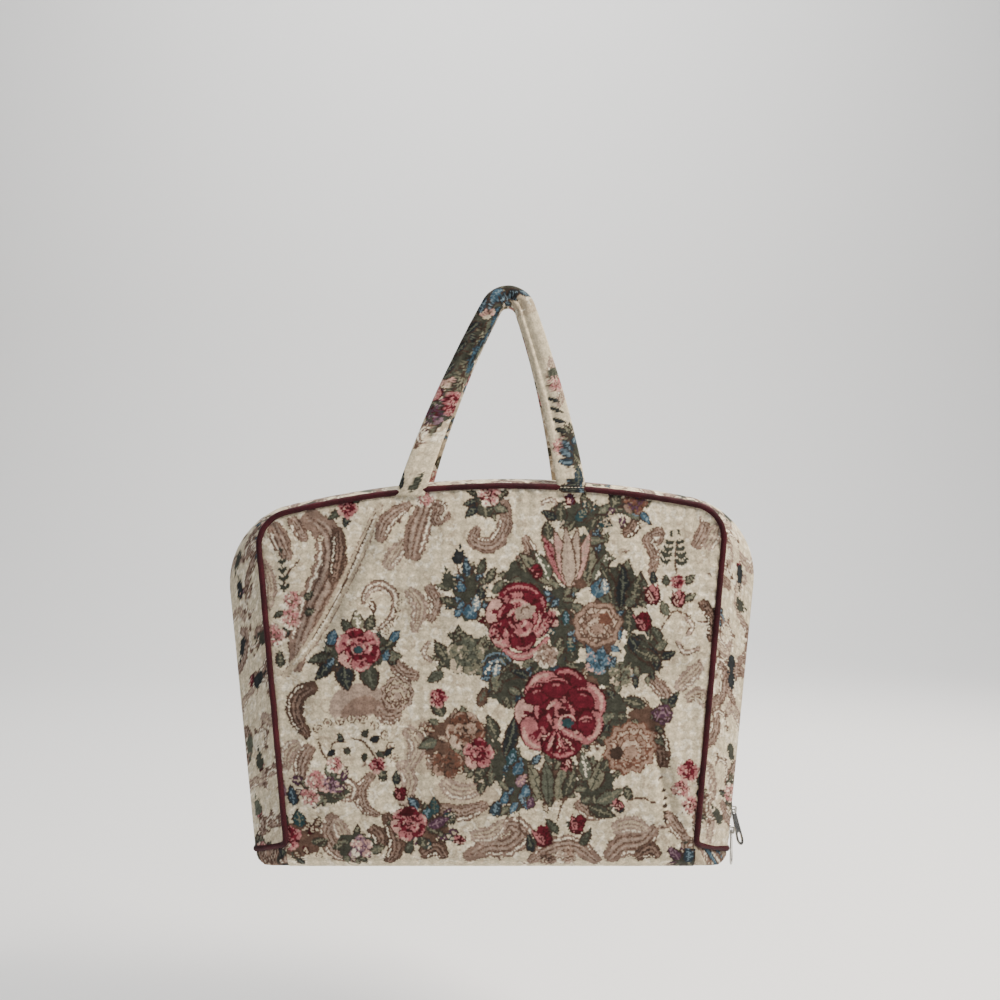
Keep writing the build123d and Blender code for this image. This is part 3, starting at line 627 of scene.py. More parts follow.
    # Leaves, each as its root, length, width, direction, colour and vein
    for at, long, wide, turn, ink, vein in (
            ((-123.6, -156.9), 11, 5, 200, "leaf", "sage"), ((-118.4, -159.1), 10, 5, 250, "ink", "sage"),
            ((-114.7, -150.2), 12, 6, 50, "sage", "moss"),
            ((-151.0, -221.3), 9, 5, 30, "leaf", "moss"), ((-151.0, -231.6), 9, 5, 10, "leaf", "moss"),
            ((-162.8, -241.2), 9, 5, 250, "ink", "sage"),
            ((-165.8, -230.9), 9, 4, 200, "leaf", "sage"), ((-168.7, -272.3), 13, 6, 85, "leaf", "moss"),
            ((-115.4, -245.7), 12, 7, 115, "leaf", "sage"), ((-110.3, -244.2), 15, 8, 88, "moss", "pale"),
            ((-104.3, -244.2), 13, 7, 60, "leaf", "moss"),
            ((-131.7, -262.7), 17, 7, 190, "leaf", "sage"), ((-128.8, -267.9), 18, 8, 215, "ink", "sage"),
            ((-120.6, -269.4), 19, 12, 268, "ink", "sage"),
            ((-103.6, -269.4), 19, 12, 275, "leaf", "sage"), ((-91.8, -262.7), 14, 7, 350, "sage", "moss"),
            ((-90.3, -256.0), 12, 6, 30, "leaf", "moss"),
            ((-16.3, -161.3), 15, 12, 92, "leaf", "moss"), ((-22.2, -153.2), 12, 6, 210, "ink", "sage"),
            ((-10.4, -152.4), 11, 6, 330, "sage", "moss"),
            ((-22.2, -202.8), 13, 6, 60, "leaf", "sage"), ((-16.3, -208.7), 13, 6, 50, "leaf", "moss"),
            ((-11.8, -216.1), 13, 6, 40, "sage", "moss"),
            ((-20.7, -222.0), 12, 6, 80, "ink", "sage"), ((-38.5, -225.0), 13, 6, 150, "leaf", "moss"),
            ((-41.4, -213.1), 12, 5, 160, "sage", "moss"),
            ((31.8, -210.2), 32, 11, 128, "moss", "leaf"), ((30.3, -207.2), 24, 9, 108, "sage", "pale"),
            ((29.6, -177.6), 14, 8, 85, "leaf", "moss"),
            ((38.5, -164.3), 15, 8, 80, "leaf", "moss"), ((35.5, -162.8), 12, 6, 140, "ink", "sage"),
            ((49.6, -162.8), 13, 7, 35, "teal", "moss"),
            ((57.7, -170.2), 13, 7, 40, "leaf", "moss"), ((59.2, -177.6), 12, 6, 350, "sage", "moss"),
            ((56.2, -213.1), 33, 16, 75, "moss", "leaf"),
            ((62.2, -210.2), 26, 10, 55, "sage", "pale"), ((53.3, -211.6), 20, 8, 110, "leaf", "sage"),
            ((77.0, -153.9), 13, 9, 60, "leaf", "moss"), ((84.4, -153.2), 12, 6, 20, "ink", "sage"),
            ((88.8, -156.9), 13, 6, 330, "sage", "sky"),
            ((97.7, -156.1), 12, 5, 300, "blue", "sky"), ((77.0, -226.4), 32, 10, 96, "leaf", "moss"),
            ((82.9, -227.9), 32, 10, 78, "ink", "sage"),
            ((88.1, -226.4), 27, 9, 60, "leaf", "moss"), ((74.0, -225.0), 22, 8, 120, "sage", "leaf"),
            ((99.2, -216.1), 11, 5, 80, "leaf", "sage"), ((106.6, -210.2), 10, 5, 80, "ink", "sage"),
            ((115.4, -211.6), 9, 5, 70, "leaf", "sage"),
            ((130.2, -209.4), 10, 5, 30, "leaf", "moss"), ((130.2, -222.0), 10, 5, 20, "leaf", "moss"),
            ((116.9, -233.8), 12, 6, 100, "sage", "moss"),
            ((88.8, -245.7), 18, 10, 80, "leaf", "moss"), ((112.5, -253.1), 14, 6, 110, "leaf", "sage"),
            ((86.6, -226.4), 12, 6, 40, "sage", "moss"),
            ((88.8, -248.6), 26, 9, 305, "ink", "sage"), ((97.7, -251.6), 26, 9, 300, "leaf", "sage"),
            ((105.1, -256.0), 20, 8, 280, "ink", "sage"),
            ((94.7, -259.0), 20, 8, 330, "leaf", "moss"), ((-17.8, -269.4), 22, 12, 150, "moss", "leaf"),
            ((-22.2, -256.0), 18, 9, 165, "sage", "moss"),
            ((-45.9, -266.4), 16, 9, 110, "leaf", "moss"), ((-41.4, -270.8), 16, 8, 60, "moss", "pale"),
            ((-47.4, -275.3), 14, 7, 200, "sage", "leaf"),
            ((46.6, -260.5), 12, 6, 90, "teal", "moss"), ((42.2, -239.8), 11, 6, 80, "teal", "sky"),
            ((1.5, -260.5), 20, 8, 220, "leaf", "moss"),
            ((-5.9, -272.3), 18, 9, 250, "sage", "moss"), ((8.9, -272.3), 18, 8, 200, "leaf", "sage"),
            ((14.8, -278.2), 14, 6, 150, "ink", "sage"),
            ((-122.8, -327.1), 8, 4, 100, "ink", "sage"), ((-119.9, -330.0), 7, 4, 290, "leaf", None),
            ((-127.3, -333.0), 7, 4, 200, "ink", None),
            ((-108.0, -322.6), 8, 4, 40, "leaf", None), ((-101.4, -325.6), 8, 4, 20, "ink", None),
            ((-96.2, -332.3), 8, 4, 300, "leaf", None),
            ((-91.8, -336.0), 9, 4, 30, "ink", None), ((-104.3, -334.5), 7, 4, 240, "leaf", None),
            ((-127.3, -353.7), 9, 5, 100, "leaf", "sage"),
            ((-91.8, -355.2), 12, 6, 95, "leaf", "moss"), ((-82.9, -358.2), 11, 5, 80, "ink", "sage"),
            ((-158.4, -374.4), 15, 7, 92, "navy", "sky"),
            ((-154.7, -390.7), 14, 9, 85, "teal", "moss"), ((-170.9, -393.7), 12, 6, 80, "leaf", "moss"),
            ((-75.5, -410.0), 12, 6, 60, "leaf", "sage"),
            ((-65.1, -384.8), 17, 8, 40, "teal", "sky"), ((-59.2, -389.2), 17, 8, 15, "plum", "mauve"),
            ((-54.8, -380.4), 14, 7, 80, "teal", "sage"),
            ((-66.6, -375.9), 12, 6, 120, "navy", "sky"), ((-3.0, -337.4), 34, 9, 66, "ink", "sage"),
            ((-8.9, -325.6), 20, 8, 100, "leaf", "moss"),
            ((-41.4, -333.0), 16, 9, 50, "moss", "leaf"), ((-47.4, -307.8), 16, 8, 120, "leaf", "moss"),
            ((-51.8, -325.6), 15, 7, 190, "sage", "moss"),
            ((-14.8, -340.4), 18, 8, 230, "leaf", "moss"), ((-22.2, -300.4), 16, 7, 60, "umber", "sage"),
            ((24.4, -370.0), 30, 9, 100, "moss", "leaf"),
            ((29.6, -371.5), 31, 10, 86, "sage", "leaf"), ((36.3, -370.0), 29, 9, 74, "moss", "sage"),
            ((40.7, -367.0), 24, 8, 60, "leaf", "moss"),
            ((37.0, -395.2), 15, 6, 120, "leaf", "sage"), ((17.0, -409.2), 14, 6, 90, "ink", "sage"),
            ((53.3, -404.0), 15, 6, 50, "leaf", "sage"),
            ((60.7, -362.6), 26, 10, 62, "moss", "leaf"), ((57.7, -355.2), 22, 9, 90, "sage", "pale"),
            ((65.1, -371.5), 22, 9, 20, "sage", "moss"),
            ((60.7, -374.4), 20, 8, 330, "leaf", "moss"), ((68.1, -347.8), 18, 8, 40, "leaf", "moss"),
            ((124.3, -300.4), 13, 6, 150, "leaf", "sage"),
            ((118.4, -299.0), 12, 5, 40, "ink", "sage"), ((99.2, -300.4), 16, 8, 150, "leaf", "moss"),
            ((140.6, -359.6), 11, 5, 60, "leaf", "moss"),
            ((139.1, -366.3), 10, 5, 20, "ink", "sage"), ((143.6, -374.4), 10, 5, 50, "leaf", "moss"),
            ((88.8, -370.0), 12, 6, 90, "leaf", "moss"),
            ((84.4, -378.9), 11, 5, 120, "ink", "sage"), ((63.6, -322.6), 18, 8, 350, "leaf", "moss"),
            ((65.1, -312.3), 15, 7, 20, "sage", "moss"),
            ((168.7, -186.5), 11, 6, 100, "leaf", "moss"), ((166.5, -202.8), 13, 6, 95, "sage", "moss"),
            ((133.2, -418.8), 16, 8, 80, "navy", "sky"),
            ((139.1, -415.9), 14, 7, 40, "teal", "sky"), ((127.3, -415.9), 14, 7, 120, "plum", "mauve")):
        c.leaf(*at, long, wide, turn, ink, vein, rim="line")
    for at, long, turn, ink in (((-165.0, -219.0), 32, 95, "leaf"), ((-42.9, -214.6), 14, 100, "leaf"),
                                ((-37.7, -196.8), 12, 80, "ink"),
                                ((114.0, -198.3), 24, 75, "leaf"), ((128.8, -199.8), 26, 95, "leaf"),
                                ((-69.6, -131.7), 10, 200, "leaf")):
        c.sprig(*at, long, turn, 4, ink, 3.0, 6.5)
    # Blue and lilac petals
    for at, long, wide, turn, ink, vein in (
            ((-131.7, -254.6), 12, 8, 60, "blue", "sky"), ((-133.9, -270.8), 9, 6, 40, "navy", "sky"),
            ((-86.6, -251.6), 10, 6, 40, "blue", "sky"),
            ((-92.5, -266.4), 9, 5, 50, "blue", "sky"), ((-30.3, -204.2), 15, 6, 88, "navy", "sky"),
            ((-33.3, -216.1), 10, 6, 100, "blue", "sky"),
            ((-31.1, -234.6), 13, 11, 45, "blue", "sky"), ((-24.4, -229.4), 12, 7, 75, "sky", "pale"),
            ((63.6, -219.8), 15, 11, 60, "blue", "sky"),
            ((71.0, -217.6), 12, 7, 80, "sky", "pale"), ((81.4, -232.4), 20, 6, 265, "blue", "sky"),
            ((0.0, -343.4), 14, 8, 60, "teal", "sky"),
            ((4.4, -350.0), 12, 8, 50, "blue", "sky"), ((5.9, -358.2), 11, 7, 40, "mauve", "blush"),
            ((11.8, -367.0), 10, 7, 70, "blue", "sky"),
            ((14.8, -375.2), 9, 6, 60, "plum", "mauve"), ((-11.8, -381.1), 13, 8, 60, "navy", "sky"),
            ((-4.4, -372.2), 10, 6, 60, "blue", "sky"),
            ((-17.8, -276.8), 14, 7, 50, "blue", "pale"), ((-10.4, -278.2), 14, 6, 70, "sky", "pale")):
        c.leaf(*at, long, wide, turn, ink, vein, rim="line")
    for k in range(4):
        c.arc(-8.1, -272.3, 4 + 2.6 * k, 20, 140, 1.5, "sky" if k % 2 else "navy")
    # The tall pale tulip above the roses, and the buds
    for k, ink in ((-24, "blush"), (24, "pink"), (-11, "apricot"), (11, "blush"), (0, "apricot")):
        c.leaf(45.1, -213.1, 44, 9, 90 + k, ink, "crimson" if ink == "pink" else "beige", 0.06, rim="umber")
    c.blob(53.3, -210.2, 5, 4, "umber", 0, 5, 0.1)
    for at, r, turn, ink in (
            ((45.9, -148.0), 5, 100, "plum"), ((106.6, -218.3), 8, 92, "pink"),
            ((125.8, -221.3), 7, 80, "pink"), ((99.9, -238.3), 8, 100, "crimson"),
            ((-79.2, -364.8), 6, 75, "crimson"), ((25.9, -397.4), 9, 105, "crimson"),
            ((51.1, -388.5), 8, 70, "crimson"), ((81.4, -373.0), 5, 140, "pink"),
            ((21.5, -201.3), 6, 110, "crimson"), ((42.9, -341.9), 6, 260, "pink"),
            ((-35.5, -399.6), 5, 150, "pink")):
        c.bud(*at, r, turn, ink)
    # The large rose, its dark upper petals and its striped lower ones
    c.rose(38.5, -304.9, 33, "wine", "crimson", "pink", "blush", 20, 7)
    for at, rx, ry, turn in (((22.2, -290.8), 11, 8, 30), ((35.5, -286.4), 11, 8, 0),
                             ((54.0, -293.8), 11, 8, -35), ((57.7, -312.3), 7, 10, 0)):
        c.blob(*at, rx, ry, "wine", turn, 4, 0.06)
        c.blob(*at, rx - 1, ry - 1, "crimson", turn, 4, 0.08)
        for k in range(3):
            c.arc(*at, rx * (0.9 - 0.28 * k), 30 + turn, 120, 1.4, "pink" if k % 2 == 0 else "wine", 0.7)
    for k in range(-4, 5):
        c.leaf(37.7, -316.0, 21, 4.6, 270 + 15 * k, ("crimson", "pink", "wine")[k % 3],
               "wine" if k % 2 else "blush", 0.03)
    c.blob(43.7, -312.3, 4.5, 3.6, "teal", 0, 5, 0.1)
    c.arc(43.7, -312.3, 6, 20, 230, 1.6, "blush")
    # The middle rose, with its crimson rim and beige heart
    c.rose(6.7, -235.3, 24, "wine", "crimson", "pink", "blush", -15, 6)
    c.band(((-5.9, -219.0), (3.0, -212.4), (16.3, -213.1), (24.4, -219.8)), 6, "crimson", "wine", "pink")
    c.band(((-3.7, -257.5), (7.4, -263.4), (20.7, -259.0), (29.6, -248.6)), 5, "pink", "wine", "blush")
    c.blob(12.6, -230.1, 8, 5.5, "beige", 20, 5, 0.1)
    c.arc(12.6, -230.1, 4, 0, 280, 1.3, "umber", wind=0.4)
    for k in range(4):
        c.arc(13.3, -233.8, 10 + 2.5 * k, -60, 90, 1.3, "wine" if k % 2 else "blush")
    # Carnations
    c.carnation(65.9, -239.8, 18, 8, "peach", "apricot", "umber", 15)
    c.blob(71.8, -236.1, 5, 4.5, "rust", 0, 5, 0.1)
    c.carnation(90.3, -330.8, 20, 30, "peach", "apricot", "rust", 11)
    c.blob(79.9, -334.5, 5, 5, "line", 0, 5, 0.1)
    c.carnation(-81.4, -290.8, 13, 80, "beige", "sand", "umber", 9)
    c.carnation(114.0, -306.4, 8, 10, "plum", "mauve", "line", 7)
    # Roses, each as its place, radius, gap, body, petal and rim colours, turn and count of petals
    for at, r, dark, mid, light, pale, turn, petals in (
            ((-119.1, -153.9), 7.5, "wine", "crimson", "pink", "blush", 0, 5),
            ((-159.8, -222.7), 7.5, "umber", "pink", "blush", "pale", 0, 5),
            ((-160.6, -236.1), 7.5, "umber", "pink", "blush", "pale", 40, 5),
            ((-173.9, -248.6), 9, "umber", "pink", "blush", "pale", 90, 5),
            ((-110.3, -257.5), 16, "wine", "crimson", "pink", "blush", 40, 6),
            ((-14.1, -144.3), 8.5, "wine", "pink", "blush", "pale", 30, 5),
            ((94.0, -150.2), 8.5, "line", "plum", "rust", "taupe", 10, 5),
            ((-7.4, -245.7), 7, "wine", "crimson", "pink", "blush", 0, 4),
            ((30.3, -236.1), 7, "wine", "crimson", "pink", "blush", 60, 4),
            ((65.9, -267.1), 9, "navy", "blue", "sky", "blush", 0, 5),
            ((82.9, -276.8), 9, "line", "sage", "moss", "sand", 20, 5),
            ((-31.1, -262.7), 14, "leaf", "sage", "moss", "sand", 10, 5),
            ((28.1, -262.7), 9, "umber", "taupe", "beige", "pale", 30, 5),
            ((-31.8, -318.2), 14, "line", "rust", "peach", "apricot", 60, 6),
            ((-45.1, -341.9), 11, "line", "umber", "rust", "peach", 10, 5),
            ((-22.2, -334.5), 11, "wine", "crimson", "pink", "blush", 10, 5),
            ((-51.8, -293.8), 7, "wine", "crimson", "pink", "blush", 0, 5),
            ((-127.3, -343.4), 6, "wine", "pink", "blush", "pale", 0, 5),
            ((-96.2, -343.4), 6, "wine", "crimson", "pink", "blush", 50, 5),
            ((-141.3, -355.2), 8, "umber", "pink", "blush", "pale", 30, 5),
            ((-131.0, -357.4), 6, "line", "plum", "mauve", "blush", 10, 5),
            ((-145.8, -367.0), 7, "umber", "pink", "blush", "pale", 70, 5),
            ((-73.3, -387.0), 13, "wine", "crimson", "pink", "blush", 15, 6),
            ((-162.1, -398.1), 9, "wine", "crimson", "pink", "blush", 15, 5),
            ((-108.8, -404.8), 8, "plum", "mauve", "blush", "pale", 15, 5),
            ((133.2, -348.5), 8, "wine", "crimson", "pink", "blush", 15, 5),
            ((128.0, -361.9), 7, "wine", "pink", "blush", "pale", 40, 5),
            ((134.7, -374.4), 7, "wine", "pink", "blush", "pale", 0, 5),
            ((125.1, -208.7), 5.5, "wine", "crimson", "pink", "blush", 0, 5),
            ((-61.4, -148.0), 6, "umber", "pink", "blush", "pale", 10, 5),
            ((43.7, -412.9), 8, "umber", "peach", "apricot", "pale", 10, 5),
            ((29.6, -415.9), 7, "line", "umber", "taupe", "sand", 50, 5)):
        c.rose(*at, r, dark, mid, light, pale, turn, petals)
    c.blob(-110.3, -258.3, 3.6, 3, "teal", 0, 5, 0.1)
    c.blob(-74.7, -378.1, 6, 3.6, "wine", 10, 4, 0.1)
    return c


def all_over_print(seed, low, high, step=46, r=17, bloom=0.5):
    c = Cloth(seed)
    c.ground(low, high, 1.0)
    c.scatter(low, high, step, r, bloom)
    return c


# ---------------------------------------------------------------- cloth pieces

def lay_print(mesh, colours, flat, material):
    """Gives a mesh its print as a colour, its flat place as UV, its material and smooth shading."""
    layer = mesh.attributes.new("print", "FLOAT_COLOR", "POINT")
    layer.data.foreach_set("color", np.asarray(colours, np.float32).ravel())
    uv = mesh.uv_layers.new(name="flat")
    index = np.zeros(len(mesh.loops), np.int64)
    mesh.loops.foreach_get("vertex_index", index)
    uv.data.foreach_set("uv", (np.asarray(flat)[index] * MM).astype(np.float32).ravel())
    mesh.materials.append(material)
    mesh.polygons.foreach_set("use_smooth", [True] * len(mesh.polygons))


def cloth_object(name, verts, faces, flat, colours, material):
    """A cloth mesh in millimetres made an object that rides on the bag."""
    mesh = bpy.data.meshes.new(name)
    mesh.from_pydata((np.asarray(verts) * MM).tolist(), [],
                     faces if isinstance(faces, list) else faces.tolist())
    mesh.validate()
    lay_print(mesh, colours, flat, material)
    mesh.update()
    obj = bpy.data.objects.new(name, mesh)
    bpy.context.collection.objects.link(obj)
    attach(obj, "bag")
    return obj


def grid_faces(rows, columns, closed=False):
    """Quads of a grid of points, rows by columns. closed joins the last row to the first."""
    r = np.arange(rows if closed else rows - 1)
    c = np.arange(columns - 1)
    rr, cc = np.meshgrid(r, c, indexing="ij")
    a = rr * columns + cc
    b = ((rr + 1) % rows) * columns + cc
    return np.stack([a, b, b + 1, a + 1], -1).reshape(-1, 4)


def tube_faces(sides, length):
    """Quads round a tube of that many rows, each that many points long, with a cap at each end."""
    faces = grid_faces(sides, length, closed=True).tolist()
    faces.append([k * length for k in range(sides)])
    faces.append([k * length + length - 1 for k in reversed(range(sides))])
    return faces


# The front cloth's folds, each as its line in X and Z, its width, its ridge and its valley
FOLDS = (
    # Down from the left handle
    (((-93.2, -149.5), (-115.4, -201.3), (-137.6, -251.6), (-152.4, -299.7)), 14, 3.4, -3.8),
    (((-115.4, -148.0), (-137.6, -192.4), (-153.9, -236.8), (-161.3, -273.8)), 11, 1.6, -1.8),
    # The crease at the lower right
    (((106.6, -314.5), (114.0, -340.4), (121.4, -370.0), (133.2, -414.4)), 10, 2.6, -4.8),
    # Down from the right handle
    (((68.1, -181.3), (81.4, -214.6), (97.7, -251.6)), 20, 1.6, -1.4),
    # At the lower left
    (((-182.0, -403.3), (-165.0, -388.5), (-145.0, -378.9)), 8, 2.2, -3.4),
    (((-186.5, -370.0), (-174.6, -378.9), (-153.9, -386.3)), 7, 1.8, -2.4),
    # Under the left handle's inner edge
    (((-50.3, -144.3), (-56.2, -170.2), (-65.1, -203.5)), 15, 1.2, -1.0),
)


def panel_relief(x, z, gap, front=True):
    """How far the stuffed panel stands out of its seam plane, in millimetres, at a place gap from its
    seam."""
    u = (x - BAG_X) / SEAM["half"]
    v = (z - PANEL_MID_Z) / 125.0
    rise = 5.4 * np.clip(1 - 0.75 * u ** 2, 0, 1) * np.clip(1 - 0.55 * v ** 2, 0.15, 1)
    rise += 1.6 * ripple(x, z, 3 if front else 4, 95) + 0.9 * ripple(x, z, 5 if front else 6, 38)
    if front:
        # A puffed lower left, and the folds
        rise += 3.4 * np.exp(-(((x + 150) / 42) ** 2 + ((z + 372) / 30) ** 2))
        for each in FOLDS:
            rise += fold(x, z, *each)
    return rise * smooth(gap / 24.0)


def fold(x, z, line, wide, ridge, valley):
    """A soft fold along a line: a ridge on its left with a valley on its right, fading at both ends."""
    line = np.asarray(line, float)
    total = np.zeros_like(x)
    best = np.full_like(x, 1e9)
    length = np.linalg.norm(np.diff(line, axis=0), axis=1)
    run = np.concatenate([[0], np.cumsum(length)])
    for i in range(len(line) - 1):
        d = (line[i + 1] - line[i]) / length[i]
        px, pz = x - line[i][0], z - line[i][1]
        t = px * d[0] + pz * d[1]
        over = np.maximum(0, np.maximum(-t, t - length[i]))
        side = px * -d[1] + pz * d[0]
        far = np.hypot(side, over)
        f = np.clip((run[i] + np.clip(t, 0, length[i])) / run[-1], 0, 1)
        fade = np.sin(math.pi * np.clip(0.12 + 0.76 * f, 0, 1)) * np.exp(-(over / wide) ** 2)
        shape = ridge * np.exp(-((side - wide * 0.75) / wide) ** 2) + valley * np.exp(-((side + wide * 0.15)
            / (wide * 0.55)) ** 2)
        closer = far < best
        total = np.where(closer, shape * fade, total)
        best = np.minimum(best, far)
    return total


def gathers(gap, along, seed, reach=13.0, depth=0.7):
    """Small puckers that run in from a seam, fading over their reach."""
    wobble = np.sin(along * 0.045 + seed) * 2.2 + np.sin(along * 0.017 + 2 * seed) * 3.1
    swell = 0.55 + 0.45 * np.sin(along * 0.031 + 1.3 * seed)
    return depth * swell * np.sin(along * math.tau / 11.5 + wobble) * np.clip(gap / 2.0, 0,
        1) * np.exp(-(gap / reach) ** 2)


def flat_sheet(boundary, step):
    """Triangles over the area inside a closed flat boundary, with inner points on a slightly uneven grid."""
    lo, hi = boundary.min(0), boundary.max(0)
    rng = np.random.default_rng(SEED)
    gx, gy = np.meshgrid(np.arange(lo[0] + step, hi[0], step), np.arange(lo[1] + step, hi[1], step * 0.9))
    gx[::2] += step / 2
    pts = np.stack([gx.ravel(), gy.ravel()], 1) + rng.uniform(-0.08, 0.08, (gx.size, 2)) * step
    pts = pts[inside_polygon(boundary, pts[:, 0], pts[:, 1])]
    near, _ = distance_to(pts, np.concatenate([boundary, boundary[:1]]))
    pts = pts[near > step * 0.45]
    every = [Vector(p) for p in np.concatenate([boundary, pts])]
    ring = list(range(len(boundary)))
    verts, _, tris, _, _, _ = delaunay_2d_cdt(every, [], [ring], 1, 1e-4)
    return np.array([v[:] for v in verts]), np.array([list(t) for t in tris])


# The run of cloth round the bottom's edge, and the height where the cloth leaves the front plane
SHEET_DROP = BOTTOM_R * math.pi / 2
FLAT_TURN = -406.0


def panel_boundary(inset):
    """The flat outline of the front cloth: the arch, then straight down past the bottom's edge."""
    arch = arch_line(**SEAM, inset=inset)
    low = FLAT_TURN - SHEET_DROP - 2
    left, right = arch[-1], arch[0]
    n = 26
    down = np.stack([np.full(n, left[0]), np.linspace(left[1], low, n + 1)[1:]], 1)
    across = np.stack([np.linspace(left[0], right[0], 260)[1:-1], np.full(258, low)], 1)
    up = np.stack([np.full(n, right[0]), np.linspace(low, right[1], n + 1)[:-1]], 1)
    return np.concatenate([arch, down, across, up]), arch


def dress_panel(name, drawing, step, front, material):
    """The front or back cloth, from its seam down and round under the bag."""
    boundary, arch = panel_boundary(PANEL_INSET)
    flat, tris = flat_sheet(boundary, step)
    gap, along = distance_to(flat, arch)
    x, t = flat[:, 0], flat[:, 1]
    out = panel_relief(x, t, np.minimum(gap, 40), front) * smooth((t - FLAT_TURN + 2) / 34) + gathers(gap,
        along, 1.0 if front else 2.3)
    out += 0.35 - 1.1 * np.exp(-(gap / 2.2) ** 2)
    turn = np.clip((FLAT_TURN - t) / BOTTOM_R, 0, math.pi / 2)
    beyond = np.maximum(0, FLAT_TURN - t - SHEET_DROP)
    r = BOTTOM_R + np.where(turn > 0, 0.35, 0)
    z = np.where(t >= FLAT_TURN, t, FLAT_TURN - r * np.sin(turn))
    y = np.where(t >= FLAT_TURN, SEAM_Y - out, SEAM_Y + BOTTOM_R - r * np.cos(turn) + beyond)
    y = np.where(t < FLAT_TURN, y - out * np.cos(turn) * 0.5, y)
    verts = np.stack([x, y, z], 1)
    colours = drawing.colours(flat)
    if not front:
        verts[:, 1] *= -1
        tris = tris[:, ::-1]
    # Delaunay faces come counter-clockwise in X and Z, which already looks to the front
    return cloth_object(name, verts, tris, flat, colours, material)


def dress_gusset(name, drawing, front, material):
    """The side and top cloth between a seam and the zip: a ruled strip with its hem turned in at the zip."""
    outer, inner = arch_line(**SEAM), arch_line(**ZIP)
    sign = 1 if front else -1
    count = len(outer)
    run = run_along((outer + inner) / 2)
    across = np.concatenate([[0.04], np.linspace(0.07, 0.97, 26), [1.0, 1.0]])
    a = np.column_stack([outer[:, 0], np.full(count, SEAM_Y), outer[:, 1]])
    b = np.column_stack([inner[:, 0], np.full(count, ZIP_Y), inner[:, 1]])
    way = np.gradient(b, axis=0)
    normal = np.cross(way, b - a)
    normal /= np.linalg.norm(normal, axis=1)[:, None]
    normal *= np.sign((normal * (b * [1, 0, 1] - [BAG_X, 0, PANEL_MID_Z])).sum(1))[:, None]
    rows, flats = [], []
    wide = np.linalg.norm(b - a, axis=1)
    for k, v in enumerate(across):
        out = 1.1 * math.sin(math.pi * min(v, 1)) * (1 + 0.8 * np.sin(run * 0.021 + 1.1))
        out = out + gathers(v * wide, run, 4.2, 10, 0.55) + gathers((1 - v) * wide, run, 0.7, 7, 0.35)
        if k == len(across) - 1:
            out = out * 0 - 1.7
        if k == 0:
            out = out - 0.9
        rows.append(a + (b - a) * v + normal * out[:, None])
        flats.append(np.stack([run, v * wide], 1))
    verts = np.stack(rows).reshape(-1, 3)
    flat = np.stack(flats).reshape(-1, 2)
    faces = grid_faces(len(across), count)
    colours = drawing.colours(flat)
    if not front:
        verts[:, 1] *= -1
    obj = cloth_object(name, verts, faces, flat, colours, material)
    point_outwards(obj, Vector((BAG_X, 0, PANEL_MID_Z)) * MM)
    return obj


def point_outwards(obj, middle):
    """Turns a sheet's faces to look away from a middle point."""
    mesh = obj.data
    total = sum((p.center - middle).dot(p.normal) * p.area for p in mesh.polygons)
    if total < 0:
        mesh.flip_normals()


def piping_path(front):
    """The piping's middle line: over the arch, round the lower corners and across the gusset's ends to the
    middle."""
    arch = arch_line(**SEAM)
    points = [np.array([x, SEAM_Y, z]) for x, z in arch]
    ends = []
    for side, corner in ((1, points[0]), (-1, points[-1])):
        z_end = np.array([BAG_X + side * ZIP["half"], ZIP_Y, ZIP["end_z"]])
        mid = z_end * [1, 0, 1]
        ends.append((corner, z_end, mid))

    def round_corner(p0, p1, p2, r, n=8):
        d0, d1 = (p0 - p1) / np.linalg.norm(p0 - p1), (p2 - p1) / np.linalg.norm(p2 - p1)
        half = math.acos(np.clip(d0 @ d1, -1, 1)) / 2
        back = r / math.tan(half)
        s, e = p1 + d0 * back, p1 + d1 * back
        return [(1 - t) ** 2 * s + 2 * t * (1 - t) * p1 + t * t * e for t in np.linspace(0, 1, n)]

    def end_run(corner, z_end, mid, before):
        run = round_corner(before, corner, z_end, 6.0)
        run += [corner + (z_end - corner) * f for f in np.linspace(0.3, 0.85, 12)]
        run += round_corner(corner, z_end, mid, 6.0)
        return run + [mid]

    right = end_run(*ends[0], points[12])[::-1]
    left = end_run(*ends[1], points[-13])
    path = np.array(right + points[8:-8] + left)
    if not front:
        path = path * [1, -1, 1]
    return path


def tube(path, radius_of, sides=14):
    """A round run along a path. radius_of gives the radius at each place along it and angle round it."""
    way = np.gradient(path, axis=0)
    way /= np.linalg.norm(way, axis=1)[:, None]
    run = run_along(path)
    side = np.cross(way, [0, 1, 0])
    bad = np.linalg.norm(side, axis=1) < 0.2
    side[bad] = np.cross(way[bad], [1, 0, 0])
    side /= np.linalg.norm(side, axis=1)[:, None]
    for i in range(1, len(side)):
        s = side[i - 1] - way[i] * (side[i - 1] @ way[i])
        side[i] = s / np.linalg.norm(s)
    up = np.cross(way, side)
    angles = np.linspace(0, math.tau, sides, endpoint=False)
    verts, flat = [], []
    for a in angles:
        r = radius_of(run, a)
        verts.append(path + (side * math.cos(a) + up * math.sin(a)) * r[:, None])
        flat.append(np.stack([run, np.full_like(run, a * 2.2)], 1))
    verts = np.stack(verts, 0).reshape(-1, 3)
    return verts, tube_faces(sides, len(path)), np.stack(flat, 0).reshape(-1, 2)


def resample(path, step):
    run = run_along(path)
    keep = np.concatenate([[True], np.diff(run) > 1e-6])
    at = np.linspace(0, run[-1], int(run[-1] / step) + 1)
    return np.stack([np.interp(at, run[keep], path[keep, k]) for k in range(3)], 1)


